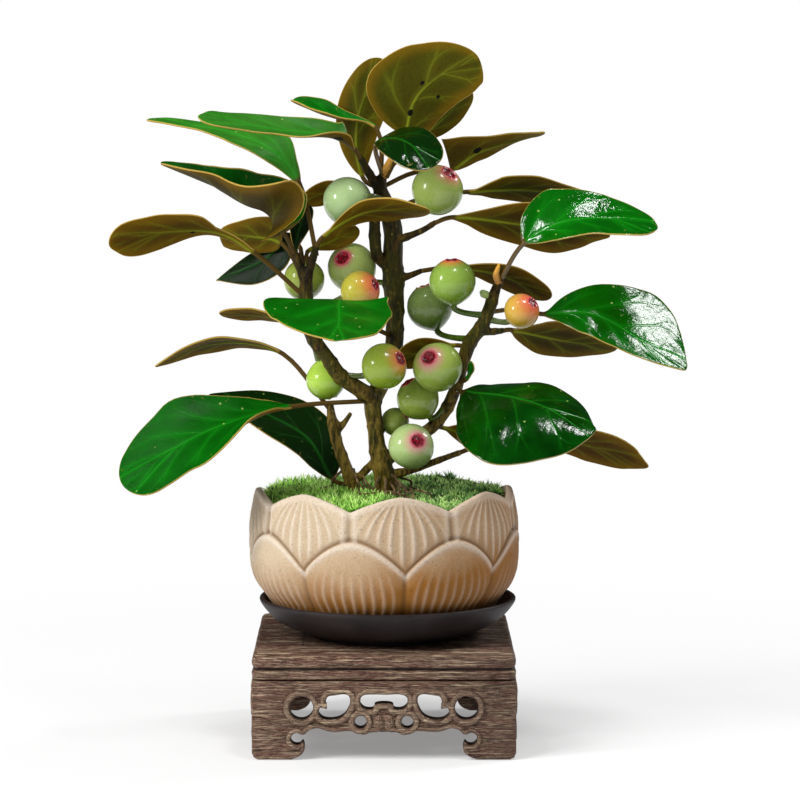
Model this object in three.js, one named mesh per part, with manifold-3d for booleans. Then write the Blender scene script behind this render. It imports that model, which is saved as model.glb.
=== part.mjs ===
// A mistletoe fig trained as a small bonsai: forked stems with spoon-shaped leaves and
// round figs, rooted in a lotus-petal pot that stands on a saucer and a carved wooden stand.
// Millimetres, +Z up. The front, as one looks at it, faces -Y. Until the very end the origin
// is on the axis of the stand; the last lines move it under the middle of the whole outline.
import * as THREE from 'three';
import { mergeVertices } from 'three/addons/utils/BufferGeometryUtils.js';
import Module from 'manifold-3d';

const wasm = await Module();
wasm.setup();

// Driving dimensions
const GAP = 0.3;                 // clearance between pieces that touch
const STAND_WIDTH = 104;
const STAND_DEPTH = 108;
const STAND_HEIGHT = 41;
const BOARD = 9.6;               // thickness of the stand's top board
const PANEL = 7;                 // thickness of the carved panels
const NOTCH_HALF = 31.3;         // half the opening between two feet
const POT_BASE = 45;             // height of the pot's foot above the floor
const POT_FLOOR = 4.5;
const DRAIN_RADIUS = 5;
const PETALS = 8;                // in each of the two rows
const UPPER_PETAL_TURN = 7.5;    // degrees from the front to the nearest upper petal
const LOWER_PETAL_TURN = -15;
const RIM_VALLEY = 97.2;
const RIM_TIP = 103.4;
const RIM_TIP_BACK = 100.2;      // the petals behind are a little lower
const LOWER_NOTCH = 73;
const LOWER_TIP = 85.5;
const PETAL_RELIEF = 1.2;
const RIB_RELIEF = 0.35;
const SAUCER_RADIUS = 52;
const SAUCER_RIM = 57;
const SOIL_TOP = 93.7;
const MOSS_BOTTOM = 94;
const MOSS_RADIUS = 48.1;
const BLADE = 0.8;               // thickness of a leaf blade
const PETIOLE = 0.95;            // radius of a leaf stalk
const PEDUNCLE = 1.1;            // radius of a fig stalk

const COLOUR = {
  wood: [0x5b3a2c, 0.62],
  saucer: [0x3a3431, 0.75],
  pot: [0xcdb18a, 0.8],
  soil: [0x33261c, 1],
  moss: [0x3f7a28, 0.95],
  bark: [0x5a4226, 0.85],
  leaf: [0x1c6b1e, 0.3],
  fig: [0x9db35a, 0.35],
};

const DEG = Math.PI / 180;
const vec = (p) => new THREE.Vector3(p[0], p[1], p[2]);
const clamp = (x, lo, hi) => Math.min(hi, Math.max(lo, x));
const mix = (a, b, t) => a + (b - a) * t;

// Conversions between three.js geometry and the solids used for cuts and joins
function geometryOf(positions, triangles) {
  const geometry = new THREE.BufferGeometry();
  geometry.setAttribute('position', new THREE.BufferAttribute(new Float32Array(positions), 3));
  geometry.setIndex(triangles);
  return geometry;
}

function solidOf(geometry) {
  const bare = geometry.clone();
  bare.deleteAttribute('normal');
  bare.deleteAttribute('uv');
  const merged = mergeVertices(bare, 1e-4);
  return new wasm.Manifold(new wasm.Mesh({
    numProp: 3,
    vertProperties: new Float32Array(merged.attributes.position.array),
    triVerts: new Uint32Array(merged.index.array),
  }));
}

function geometryOfSolid(solid) {
  const mesh = solid.getMesh();
  return geometryOf(mesh.vertProperties, Array.from(mesh.triVerts));
}

// The largest connected body of a solid, without the scraps that a cut leaves loose
function mainBody(solid) {
  const bodies = solid.decompose();
  return bodies.reduce((best, body) => (body.volume() > best.volume() ? body : best));
}

// A closed body through a list of rings with equal numbers of points. Flat rings list the
// upper face from left to right and the lower face back, and both faces are split alike.
function loft(rings, flat = false) {
  const count = rings[0].length;
  const positions = rings.flat().flatMap((p) => [p.x, p.y, p.z]);
  const triangles = [];
  const id = (i, j) => i * count + (j % count);
  for (let i = 0; i < rings.length - 1; i += 1) {
    for (let j = 0; j < count; j += 1) {
      const [a, b, c, d] = [id(i, j), id(i, j + 1), id(i + 1, j + 1), id(i + 1, j)];
      if (flat && j >= count / 2) {
        triangles.push(a, b, d, b, c, d);
      } else {
        triangles.push(a, b, c, a, c, d);
      }
    }
  }
  const last = rings.length - 1;
  for (let j = 0; j < count / 2 - 1; j += 1) {
    const k = count - 1 - j;
    triangles.push(id(0, j), id(0, k), id(0, j + 1), id(0, j + 1), id(0, k), id(0, k - 1));
    triangles.push(id(last, j), id(last, j + 1), id(last, k));
    triangles.push(id(last, j + 1), id(last, k - 1), id(last, k));
  }
  return geometryOf(positions, triangles);
}

// A band of quads around an axis, closed on itself both ways
function ringLoop(rings) {
  const count = rings[0].length;
  const positions = rings.flat().flatMap((p) => [p.x, p.y, p.z]);
  const triangles = [];
  for (let i = 0; i < rings.length; i += 1) {
    const next = (i + 1) % rings.length;
    for (let j = 0; j < count; j += 1) {
      const [a, b] = [i * count + j, i * count + ((j + 1) % count)];
      const [d, c] = [next * count + j, next * count + ((j + 1) % count)];
      triangles.push(a, b, c, a, c, d);
    }
  }
  return geometryOf(positions, triangles);
}

// Carved stand
function roundedRectangle(halfX, halfY, radius, z) {
  const ring = [];
  for (let corner = 0; corner < 4; corner += 1) {
    const sx = corner === 0 || corner === 3 ? 1 : -1;
    const sy = corner < 2 ? 1 : -1;
    for (let k = 0; k <= 3; k += 1) {
      const angle = (corner * 90 + k * 30) * DEG;
      const x = sx * (halfX - radius) + radius * Math.cos(angle);
      const y = sy * (halfY - radius) + radius * Math.sin(angle);
      ring.push(new THREE.Vector3(x, y, z));
    }
  }
  return ring;
}

// The board's edge: height below the top face, and how far it is set in
function standBoard() {
  const edge = [[BOARD, 1.6], [BOARD - 1, 0.4], [6.2, 0], [5.2, 0.9], [4.2, 0.9], [3.4, 0.2],
    [1.2, 0.3], [0, 1.5]];
  const rings = edge.map(([below, inset]) => roundedRectangle(
    STAND_WIDTH / 2 - inset, STAND_DEPTH / 2 - inset, 3.5, STAND_HEIGHT - below));
  return loft(rings);
}

function mirrored(points) {
  return points.map(([x, z]) => [-x, z]).reverse();
}

function pathOf(points) {
  return new THREE.Path(points.map(([x, z]) => new THREE.Vector2(x, z)));
}

function roundHole(x, z, radius, corners) {
  const turn = (2 * Math.PI) / corners;
  return Array.from({ length: corners }, (_, k) => [
    x + radius * Math.cos(k * turn), z + radius * Math.sin(k * turn)]);
}

// One carved panel, standing in its own plane: x along the panel, z up, thickness along y
function carvedPanel(halfWidth) {
  const scroll = { x: 34.2, z: 8.3, radius: 2.6 };
  const scrollArc = [135, 85, 35, -15, -65, -115, -150].map((angle) => [
    scroll.x + scroll.radius * Math.cos(angle * DEG),
    scroll.z + scroll.radius * Math.sin(angle * DEG)]);
  const lowerEdge = [[5, 11], [8, 10], [10.5, 10.9], [13, 11.5], [20, 11.2], [23.5, 11.8],
    [26.5, 12.7], [29.5, 11.8], [NOTCH_HALF, 10.2]];
  const foot = [[31.2, 5.4], [31.5, 3.4], [33.2, 1.4], [36.5, 0], [halfWidth - 2.6, 0],
    [halfWidth - 0.8, 0.8], [halfWidth, 2.6]];
  const side = [[halfWidth, STAND_HEIGHT - BOARD - GAP]];
  const half = [...lowerEdge, ...scrollArc, ...foot, ...side];
  const outline = [...half, ...mirrored(half)];
  const shape = new THREE.Shape(outline.map(([x, z]) => new THREE.Vector2(x, z)));
  const bean = [[13, 24], [13.8, 20.5], [15.6, 17.6], [19, 16], [23.6, 16.2], [25.8, 18.4],
    [24.8, 21], [22.6, 20.4], [23, 23], [22, 25.3], [19, 25.9], [14.2, 25.9]];
  const centre = [[9.3, 22], [9.2, 24.6], [7.2, 26], [-7.2, 26], [-9.2, 24.6], [-9.3, 22],
    [-7.5, 20.2], [-4, 20.2], [-3.4, 21.8], [3.4, 21.8], [4, 20.2], [7.5, 20.2]];
  const eye = roundHole(32.5, 20.6, 4.8, 9);
  const bead = roundHole(9.2, 15, 2.6, 7);
  const holes = [centre, bean, mirrored(bean), eye, mirrored(eye), bead, mirrored(bead)];
  shape.holes = holes.map(pathOf);
  const geometry = new THREE.ExtrudeGeometry(shape, { depth: PANEL, bevelEnabled: false });
  geometry.rotateX(90 * DEG);
  geometry.translate(0, PANEL / 2, 0);
  return geometry;
}

// Saucer: a shallow bowl with a plain lip
function saucer() {
  const floor = POT_BASE - GAP;
  const foot = STAND_HEIGHT + GAP;
  const profile = [[0, foot], [32, foot], [44, 47], [49.4, 51.8],
    [SAUCER_RADIUS, SAUCER_RIM - 1], [SAUCER_RADIUS - 0.5, SAUCER_RIM],
    [SAUCER_RADIUS - 2, SAUCER_RIM], [46.4, 52], [41.6, 48.2], [38, floor], [0, floor]];
  const points = profile.map(([r, z]) => new THREE.Vector2(r, z));
  const geometry = new THREE.LatheGeometry(points, 32);
  geometry.rotateX(90 * DEG);
  return geometry;
}

// Lotus pot. Angles run from the front, which faces -Y, towards +X.
const POT_PROFILE = [[35, 45], [44, 52], [48.5, 59], [51, 62.4], [53.7, 68.5], [55.2, 78],
  [54.8, 88], [53, 97], [52, 104]];

function potRadius(z) {
  const last = POT_PROFILE.length - 2;
  const k = clamp(POT_PROFILE.findIndex((p) => p[1] > z) - 1, 0, last);
  const [r0, z0] = POT_PROFILE[k];
  const [r1, z1] = POT_PROFILE[k + 1];
  return mix(r0, r1, (z - z0) / (z1 - z0));
}

// How far an angle is from the middle of its petal: 0 on the rib in the middle, 1 at the seam
function acrossPetal(angle, turn) {
  const step = 360 / PETALS;
  const offset = ((angle - turn) % step + step) % step;
  return Math.abs(offset - (offset > step / 2 ? step : 0)) / (step / 2);
}

function rimHeight(angle) {
  const across = acrossPetal(angle, UPPER_PETAL_TURN);
  const behind = clamp(0.5 - 0.8 * Math.cos(angle * DEG), 0, 1);
  const tip = mix(RIM_TIP, RIM_TIP_BACK, behind);
  return mix(tip, RIM_VALLEY, across ** 1.5);
}

function lowerPetalEdge(angle) {
  const across = acrossPetal(angle, LOWER_PETAL_TURN);
  return mix(LOWER_TIP, LOWER_NOTCH, across ** 2.1);
}

function pot() {
  const columns = 64;
  const body = 62.4;
  const angleOf = (j) => UPPER_PETAL_TURN + (360 / columns) * j;
  const onBody = [45, 52, 59, body].map((z) => () => [z, 0]);
  const onLower = [0.4, 0.75, 1].map((t) => (angle) => {
    const seam = acrossPetal(angle, LOWER_PETAL_TURN) ** 8;
    return [mix(body, lowerPetalEdge(angle) - 0.5, t), PETAL_RELIEF * (1 - seam)];
  });
  const onUpper = [0, 0.3, 0.6, 0.85, 1].map((t) => (angle) => {
    const seam = acrossPetal(angle, UPPER_PETAL_TURN) ** 10;
    const z = mix(lowerPetalEdge(angle) + 0.5, rimHeight(angle), t);
    return [z, -PETAL_RELIEF * seam * (t < 1 ? 1 : 0.5)];
  });
  const rows = [...onBody, ...onLower, ...onUpper];
  const ribbed = (row) => row > 3 && row < rows.length - 2 && row !== 7;
  const rings = rows.map((row, i) => Array.from({ length: columns }, (_, j) => {
    const angle = angleOf(j);
    const [z, relief] = row(angle);
    const rib = ribbed(i) && j % 2 === 0 ? RIB_RELIEF : 0;
    return around(potRadius(z) + relief + rib - RIB_RELIEF, angle, z);
  }));
  const inside = [[(angle) => rimHeight(angle) - 0.6, 49.6], [() => 66, 45],
    [() => POT_BASE + POT_FLOOR, 33], [() => POT_BASE + POT_FLOOR, DRAIN_RADIUS],
    [() => POT_BASE, DRAIN_RADIUS]];
  inside.forEach(([height, radius]) => {
    rings.push(Array.from({ length: columns }, (_, j) => around(
      radius, angleOf(j), height(angleOf(j)))));
  });
  return ringLoop(rings);
}

function around(radius, angle, z) {
  return new THREE.Vector3(radius * Math.sin(angle * DEG), -radius * Math.cos(angle * DEG), z);
}

// Soil inside the pot, clear of its wall
function soil() {
  const profile = [[0, POT_BASE + POT_FLOOR + GAP], [32.4, POT_BASE + POT_FLOOR + GAP],
    [44.5, 66], [47.9, SOIL_TOP], [0, SOIL_TOP]];
  const geometry = new THREE.LatheGeometry(profile.map(([r, z]) => new THREE.Vector2(r, z)), 32);
  geometry.rotateX(90 * DEG);
  return geometry;
}

// Height of the moss: low in front, higher behind, with three cushions near the edge. Each
// cushion has an angle, a height and a width in degrees.
const CUSHIONS = [[99, 3.6, 14], [149, 4, 17], [243, 2.4, 17]];

function mossHeight(angle, reach) {
  const back = clamp(0.5 - 0.75 * Math.cos(angle * DEG), 0, 1);
  const mounds = 0.7 * Math.sin(5 * angle * DEG + 4 * reach) + 0.5 * Math.cos(9 * angle * DEG);
  const middle = 98.6 + back + mounds;
  const swelling = CUSHIONS.reduce((sum, [at, height, width]) => (
    sum + height * Math.exp(-(((angle - at) / width) ** 2))), 0);
  const edge = mix(RIM_VALLEY + 0.6, 99.8, back) + 0.3 * mounds + swelling;
  return mix(middle, edge, reach ** 2);
}

function moss() {
  const columns = 32;
  const ring = (radius, height) => Array.from({ length: columns }, (_, j) => {
    const angle = (360 / columns) * j;
    return around(radius, angle, height(angle));
  });
  const rings = [ring(2, () => MOSS_BOTTOM), ring(MOSS_RADIUS, () => MOSS_BOTTOM)];
  [0.97, 0.75, 0.5, 0.25].forEach((reach) => {
    rings.push(ring(reach * MOSS_RADIUS, (angle) => mossHeight(angle, reach)));
  });
  rings.push(ring(2, () => 98.6));
  return loft(rings);
}

// Stems and twigs: lists of x, y, z and radius along each axis
const STEMS = [
  // the trunk, from the soil to the first node
  [[1, 0, 66, 4.2], [1, 0, 97, 4.6], [0.3, 0, 106, 4.1], [-1, 0, 110.5, 4.4], [-2.5, 0, 117, 3.4],
    [-3.6, 1, 127, 3.1], [-4.5, 1, 136, 3.7], [-1, 5, 144, 3.7], [3.6, 8, 156, 3.7],
    [4.6, 8, 170, 3.6], [4, 7, 183, 4.3], [3.6, 6, 195, 4.1], [3.6, 5.5, 205, 4],
    [1.2, 4.5, 215, 3.3], [-1.5, 3, 222, 3], [-0.6, 1, 228, 1.9]],
  // the left branch and its two forks
  [[-4.5, 1, 136, 3.4], [-9, -2, 141, 3.3], [-15, -4, 145, 3.1], [-19.5, -6, 149.5, 3.1],
    [-23, -7, 155, 2.8], [-28, -8, 162, 2.9], [-31, -8, 170, 2.7], [-31.6, -8, 180, 2.9],
    [-31.4, -8, 187, 2.6]],
  [[-31.6, -8, 184, 2], [-33.2, -8, 190, 1.9], [-35.6, -8.5, 197, 1.4]],
  [[-31.4, -8, 184, 2], [-29.4, -9, 192, 1.7], [-27, -10, 200, 1.3]],
  // the right branch, which leaves the trunk low down and climbs behind the figs
  [[-1, 0, 111, 2.8], [6, 4, 116, 2.8], [13, 5.5, 121, 2.6], [20, 5, 126, 2.6], [26, 3, 134, 2.6],
    [29.6, 0, 143, 2.5], [32, -2, 153, 2.7], [35, -3, 161, 2.9], [40, -3, 168, 2.8],
    [43, -3, 176, 2.6], [45.4, -4, 183, 1.9], [47, -5, 187, 1.5]],
  [[37, -3, 165, 1.7], [43, -3, 165, 1.5], [48.5, -2, 165.3, 1.2]],
  // the low twig to the right
  [[0, -1, 106, 2], [10, -1, 108.2, 1.7], [21, -1, 112, 1.4], [31, 0, 115.6, 1.1]],
  // twigs of the upper trunk, its cut stub and the shoot above it
  [[3.6, 5.5, 201, 1.8], [10, 2, 203.4, 1.5], [16, 0, 206, 1.3], [21, -1.2, 209.2, 1.1]],
  [[4, 7, 185.6, 1.6], [10, 6, 187, 1.4], [15.5, 6.5, 189.2, 1.1]],
  [[2, 6, 190, 2], [-2.6, 3, 195, 2.3], [-3.6, 2, 202, 2.4], [-3.8, 2, 210, 2.3]],
  [[-2, 2.5, 222, 2.3], [-6, -2, 229, 1.7], [-9.6, -6, 235.4, 1.3]],
  // the second stem and its side shoots
  [[-12, 3, 66, 2.6], [-12.2, 3, 97, 2.9], [-14, 3, 105, 2.7], [-17, 4, 113, 2.4],
    [-19.6, 4, 121, 2.3], [-20.4, 4.4, 125, 2.6], [-21.4, 5, 130, 1.9], [-22, 6, 135, 1.4]],
  [[-19.8, 4.2, 122.6, 1.5], [-16.4, 4, 127, 1.2], [-13.4, 4, 131.4, 0.9]],
  [[-12.6, 3, 102.6, 1.6], [-8, 2, 107.4, 1.6], [-3, 0.6, 113, 1.6]],
];

// Pointed buds at the ends of the shoots, and one small round one
const BUDS = [
  [[0, 1, 227, 1.5], [0.9, 0, 230.4, 1.7], [2.2, -1, 233.6, 1.2], [3.2, -1.6, 237, 0.35]],
  [[46.2, -5.6, 184.6, 1.3], [45.2, -6.4, 188, 1.3], [45.6, -6.8, 190.4, 0.9],
    [46.4, -7, 192.8, 0.35]],
  [[42.6, -3, 178.6, 1.1], [40.9, -3.6, 180, 1.6], [39.6, -4, 180.8, 1.4],
    [38.8, -4.2, 181.2, 0.6]],
];

// Rings of a round tube. Each ring faces along the path, and its points turn as little as
// possible from one ring to the next.
function tubeRings(stations, sides, grow) {
  const rings = [];
  let across = new THREE.Vector3(1, 0, 0);
  stations.forEach(({ at, along, radius }) => {
    across = across.clone().addScaledVector(along, -across.dot(along));
    if (across.lengthSq() < 1e-3) {
      across.set(0, 1, 0).addScaledVector(along, -along.y);
    }
    across.normalize();
    const up = new THREE.Vector3().crossVectors(along, across);
    rings.push(Array.from({ length: sides }, (_, k) => {
      const angle = (2 * Math.PI * k) / sides;
      return at.clone()
        .addScaledVector(across, (radius + grow) * Math.cos(angle))
        .addScaledVector(up, (radius + grow) * Math.sin(angle));
    }));
  });
  return rings;
}

function stemBody(points, grow, perSpan, sides = 7) {
  const curve = new THREE.CatmullRomCurve3(points.map(vec));
  const spans = points.length - 1;
  const stations = [];
  for (let i = 0; i <= spans * perSpan; i += 1) {
    const t = i / (spans * perSpan);
    const k = Math.min(Math.floor(i / perSpan), spans - 1);
    const radius = mix(points[k][3], points[k + 1][3], i / perSpan - k);
    stations.push({ at: curve.getPoint(t), along: curve.getTangent(t), radius });
  }
  stations[0].at.addScaledVector(stations[0].along, -grow);
  stations.at(-1).at.addScaledVector(stations.at(-1).along, grow);
  return solidOf(loft(tubeRings(stations, sides, grow)));
}

function stemsBody(grow) {
  const bodies = STEMS.map((points) => stemBody(points, grow, points.length > 12 ? 2 : 1));
  BUDS.forEach((points) => bodies.push(stemBody(points, grow, 1, 6)));
  return bodies.reduce((all, body) => all.add(body));
}

// Leaves. points: the midrib, from the root on a stem over the start of the blade to the tip.
// wide: half widths left and right of the midrib, seen from above with the tip ahead. faces: the
// directions that the upper face looks in, from base to tip. rise: how steeply both halves
// stand up from the midrib, from base to tip. foot: how full the blade is at its base, small
// for round and 1 for wedge-shaped. tip: the same at the tip. broadest: where the blade is
// widest, from 0 to 1. Each of these three has one value, or one for the left and one for the
// right side. start: the point at which the blade begins.
const LEAVES = {
  crown_front: { points: [[1, 0, 227], [8, -1, 242], [12, -6, 260], [19.4, -12, 280.3]],
    wide: [23.6, 21], faces: [[-0.1, 1, 0.1], [-0.1, 1, -0.1]], rise: [0.1], foot: [0.35, 0.85],
    broadest: [0.78, 0.45], tip: [0.25, 0.9] },
  crown_left: { points: [[-1.4, 3, 222.6], [-8, 7, 226], [-11, 12, 248], [-1, 13, 275]],
    wide: [10.5, 10], faces: [[0.2, 1, 0]], rise: [0.1], foot: [0.5, 0.6] },
  crown_right: { points: [[-0.6, 1, 227], [9, 6, 238], [22, 10, 249], [35.5, 11, 262]],
    wide: [6.5, 8], faces: [[-0.3, 1, 0.3]], rise: [0.1], small: true },
  crown_side: { points: [[-1, 2, 225], [-3, 4.5, 247], [-19, 6, 251.2], [-37.5, 17, 258]],
    wide: [6, 6], faces: [[0.2, -0.4, 0.9]], rise: [0.5], small: true },
  crown_dark: { points: [[-0.6, 0, 228], [-3.4, -4, 240], [7, -20, 242.3], [20.2, -33, 232.5]],
    wide: [10.5, 9.5], faces: [[0.1, -0.5, 0.9], [0.4, -0.7, 0.6]], rise: [-0.2],
    foot: 0.5 },
  upper_left_far: { points: [[-27, -9, 196], [-34.1, -2, 224.9], [-43.1, 0, 236.3],
    [-60.5, 6, 244.3], [-96.8, 16, 250.1]],
  wide: [5.5, 8.5], faces: [[-0.5, -0.75, 0.4], [0, -0.4, 0.9], [0.1, -0.3, 1]], rise: [0, 0.1],
  foot: [0.9, 0.35], broadest: 0.3, tip: 0.8 },
  upper_left_near: { points: [[-9.6, -6, 234.6], [-11.5, -8, 238.4], [-20, -12, 243.4],
    [-40.9, -18, 246], [-73.2, -29, 251.5]],
  wide: [10, 9], faces: [[0.3, -0.2, 1], [0.1, -0.25, 1], [0.1, -0.4, 1]],
  rise: [1.1, 0.6, 0.2, 0.1], foot: [0.35, 0.5], broadest: 0.4 },
  middle_left_upper: { points: [[-35.2, -8.4, 195], [-40, -9, 205], [-46.9, -11, 216.7],
    [-59.7, -15, 223.8], [-88.2, -25, 233.2]],
  wide: [17.5, 9], faces: [[0.4, 0.9, 0.2], [0.2, 0.6, 0.75], [0, -0.2, 1], [0, -0.3, 1]],
  rise: [0.1, 0.2, 0.3, 0.2], foot: [0.3, 0.9], broadest: 0.3, tip: [1, 0.7] },
  long_left: { points: [[-31.5, -8, 179], [-51, -17, 197], [-65.8, -22, 205.9],
    [-85.5, -28, 206.3], [-108, -37, 201.7]],
  wide: [8.2, 8.2], faces: [[0.2, 0.8, 0.5], [0, 0.15, 1], [-0.1, 1, 0.2], [-0.1, 1, 0.2]],
  rise: [0], broadest: 0.72 },
  behind_long_left: { points: [[-32.6, -7.6, 187], [-41.1, 2, 200.3], [-53.3, 8, 204.3],
    [-66.8, 14, 207.4]],
  wide: [7, 7], faces: [[0.1, 0.7, 0.7]], rise: [0.1], small: true },
  dark_left: { points: [[-31.5, -7, 184], [-36, 4, 202], [-50.3, 11, 192.4], [-69, 20, 184.3]],
    wide: [9, 7], faces: [[-0.3, -0.85, 0.4]], rise: [-0.1], foot: 0.5, broadest: 0.4,
    tip: 1, small: true },
  dark_small: { points: [[-33.6, -8, 191], [-35.4, -6, 196], [-34.4, -1, 206], [-30, 0, 216]],
    wide: [4, 4], faces: [[0.1, -1, 0.1]], rise: [0], small: true },
  centre_brown: { points: [[-27.4, -10, 199], [-25, -11, 203], [-8, -18, 213.7],
    [17.8, -31, 215.1]],
    wide: [9.5, 7.5], faces: [[0, 0.7, 0.7], [0, 0.5, 0.9]], rise: [0.1] },
  behind_centre: { points: [[-29.6, -9, 191], [-31, -1, 197], [-22, 1.5, 201], [-10, 3, 206]],
    wide: [4.5, 4.5], faces: [[0.2, 1, 0.2]], rise: [0], small: true },
  behind_fig: { points: [[1.2, 5, 213], [-8, 14, 216], [-20.1, 17, 220.9], [-33.3, 19, 216.7]],
    wide: [5, 5], faces: [[0.1, 1, 0.3]], rise: [0], small: true },
  front: { points: [[2, 6, 163], [-9, -10, 169.6], [-16, -20, 178], [-21, -41, 173.4],
    [-27, -62, 166]],
  wide: [25, 27.5], faces: [[0, -0.22, 1], [-0.1, -0.45, 0.9]], rise: [0.05], foot: 0.3,
  broadest: 0.42, start: 2 },
  behind_front: { points: [[-26, -7.6, 159], [-31, -6, 165.9], [-47.3, 0, 171], [-67, 9, 171.3]],
    wide: [6, 6], faces: [[0, 0.5, 0.9]], rise: [0], small: true },
  arched_left: { points: [[-21.6, 5.6, 132], [-32, 11, 144.8], [-42.3, 14, 156.5],
    [-59.7, 18, 161.3], [-94.9, 26, 148.7]],
  wide: [7, 7], faces: [[0, 0.35, 1]], rise: [-0.1] },
  low_left: { points: [[-4.5, 1, 136.6], [-35.9, -11, 135.5], [-57.8, -21, 131.1],
    [-80.4, -31, 122], [-102.3, -40, 106]],
  wide: [14, 19.5], faces: [[0, -0.3, 1], [0, -0.35, 0.95], [-0.35, -0.75, 0.5], [-0.4, -0.8, 0.4]],
  rise: [0.7, 0.5, 0.1, 0], foot: [0.9, 0.55], broadest: 0.62 },
  low_left_back: { points: [[-13.4, 3, 102], [-20, 7, 102.9], [-31.1, 14, 119.5], [-48.4, 20, 129],
    [-73.1, 28, 136.1]],
  wide: [8.5, 12.5], faces: [[-0.3, -0.8, 0.4], [-0.2, -0.6, 0.8]], rise: [0], foot: [0.9, 0.5],
  broadest: 0.42, tip: 0.8 },
  top_right: { points: [[-1, 3, 223], [13, 12, 229], [27.1, 12, 229.9], [38.2, 14, 236.9],
    [66.1, 24, 244.8]],
    wide: [4, 11], faces: [[-0.4, 0.9, 0.2], [0, 0.4, 1]], rise: [0], start: 2, foot: [0.9, 0.25],
    broadest: 0.2, tip: 1.2 },
  upper_right_back: { points: [[1.2, 5, 213], [18, 14, 219], [33.2, 15, 220.8], [57.5, 20, 221.7],
    [87.7, 29, 218.2]],
  wide: [7, 7], faces: [[0, 0.8, 0.6]], rise: [0], start: 2 },
  upper_right_brown: { points: [[20, -1, 208.6], [27, -1, 211], [60.3, 4, 207.4], [92, 10, 203]],
    wide: [10.5, 11], faces: [[0, 0.9, 0.4]], rise: [0.05] },
  upper_right_front: { points: [[46.6, -5, 185.6], [56, -11, 201], [70.8, -18, 209.6],
    [90.4, -25, 211.3], [107.6, -33, 207.7]],
  wide: [14.5, 6.5], faces: [[-0.1, -0.95, 0.3], [-0.1, -0.75, 0.6], [0, -0.4, 0.9]], rise: [0.1],
  foot: [0.3, 0.8], broadest: 0.27, tip: 0.75 },
  middle_right_dark: { points: [[15, 6.4, 189], [24, 9, 190], [45.2, 15, 187.7],
    [68.9, 25, 176.9]],
    wide: [6.5, 6.5], faces: [[0, 0.8, 0.6]], rise: [0] },
  big_right: { points: [[43.6, -2.6, 173], [53, 5, 173.4], [63.9, 0, 177.5], [85.6, -10, 176.4],
    [106.2, -19, 166.7], [120.8, -26, 151.1]],
  wide: [14.5, 12], faces: [[0.1, -0.7, 0.7], [0.3, -0.7, 0.6]], rise: [0], foot: [0.7, 0.9],
  start: 2 },
  under_big_right: { points: [[48, -2, 165.3], [51.1, 0, 165.5], [71.3, 8, 161.1],
    [96, 17, 156.9]],
    wide: [8.5, 9], faces: [[0, 0.8, 0.6]], rise: [0], foot: 0.5 },
  low_right_front: { points: [[29, 0, 141], [32, -9, 141], [55.7, -25, 139.2], [83.7, -37, 128.5]],
    wide: [14, 28.5], faces: [[0, -0.6, 0.8], [0.3, -0.7, 0.6]], rise: [-0.3], foot: [0.6, 0.1],
    broadest: [0.45, 0.33] },
  low_right_brown: { points: [[30, 0, 115.2], [40.1, 4, 118.2], [65.3, 10, 120.5],
    [88.8, 15, 115.7], [109.2, 20, 107.3]],
  wide: [7.5, 7.5], faces: [[0, 0.8, 0.6]], rise: [0] },
  behind_low_right: { points: [[20, 5, 126], [23, 11, 124.8], [34.2, 17, 121.4],
    [50.5, 24, 117.5]],
    wide: [6.5, 6.5], faces: [[0, 1, 0.2]], rise: [0], small: true },
  behind_right_figs: { points: [[34, -2, 158.4], [30, 2.4, 159], [19, 3, 157.6], [5, 2.6, 152]],
    wide: [6, 6], faces: [[0, 1, 0.2]], rise: [0], small: true },
  young_right: { points: [[30, -0.4, 144], [33.4, -5, 146], [35, -6, 149.6], [35, -6, 153.4]],
    wide: [1.6, 1.6], faces: [[-0.4, -0.9, 0]], rise: [0], small: true },
};

// Half width of a blade, from 0 at its base over 1 where it is broadest to 0 at its tip
function bladeWidth(t, broadest, foot, tip) {
  const swell = Math.sin(Math.PI * clamp(t, 0, 1) ** (Math.log(0.5) / Math.log(broadest)));
  return Math.max(swell, 0) ** (t < broadest ? foot : tip);
}

// The value at t, from 0 to 1, of a list whose entries lie evenly along the blade
function along(list, t) {
  const reach = t * (list.length - 1);
  const k = Math.min(Math.floor(reach), Math.max(list.length - 2, 0));
  return [list[k], list[Math.min(k + 1, list.length - 1)], reach - k];
}

// A leaf's cross-section: upper and lower points from its left margin to its right one. The
// stalk is round, the blade is flat, and in between one turns into the other.
function leafRing({ at, ahead, face, stalk, wide, rise }, across) {
  const upFace = face.clone().addScaledVector(ahead, -face.dot(ahead)).normalize();
  const side = new THREE.Vector3().crossVectors(ahead, upFace);
  const upper = [];
  const lower = [];
  for (let k = 0; k < across; k += 1) {
    const u = (2 * k) / (across - 1) - 1;
    const half = wide[u < 0 ? 0 : 1];
    const x = mix(u * half, PETIOLE * Math.sin(70 * DEG * u), stalk);
    const thick = mix(BLADE / 2, PETIOLE * Math.cos(70 * DEG * u), stalk);
    const slope = Math.atan(2 * rise * u * (1 - stalk));
    const middle = at.clone().addScaledVector(side, x);
    middle.addScaledVector(upFace, rise * half * u * u * (1 - stalk));
    const normal = upFace.clone().multiplyScalar(Math.cos(slope));
    normal.addScaledVector(side, -Math.sin(slope));
    upper.push(middle.clone().addScaledVector(normal, thick));
    lower.unshift(middle.clone().addScaledVector(normal, -thick));
  }
  return [...upper, ...lower];
}

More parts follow.
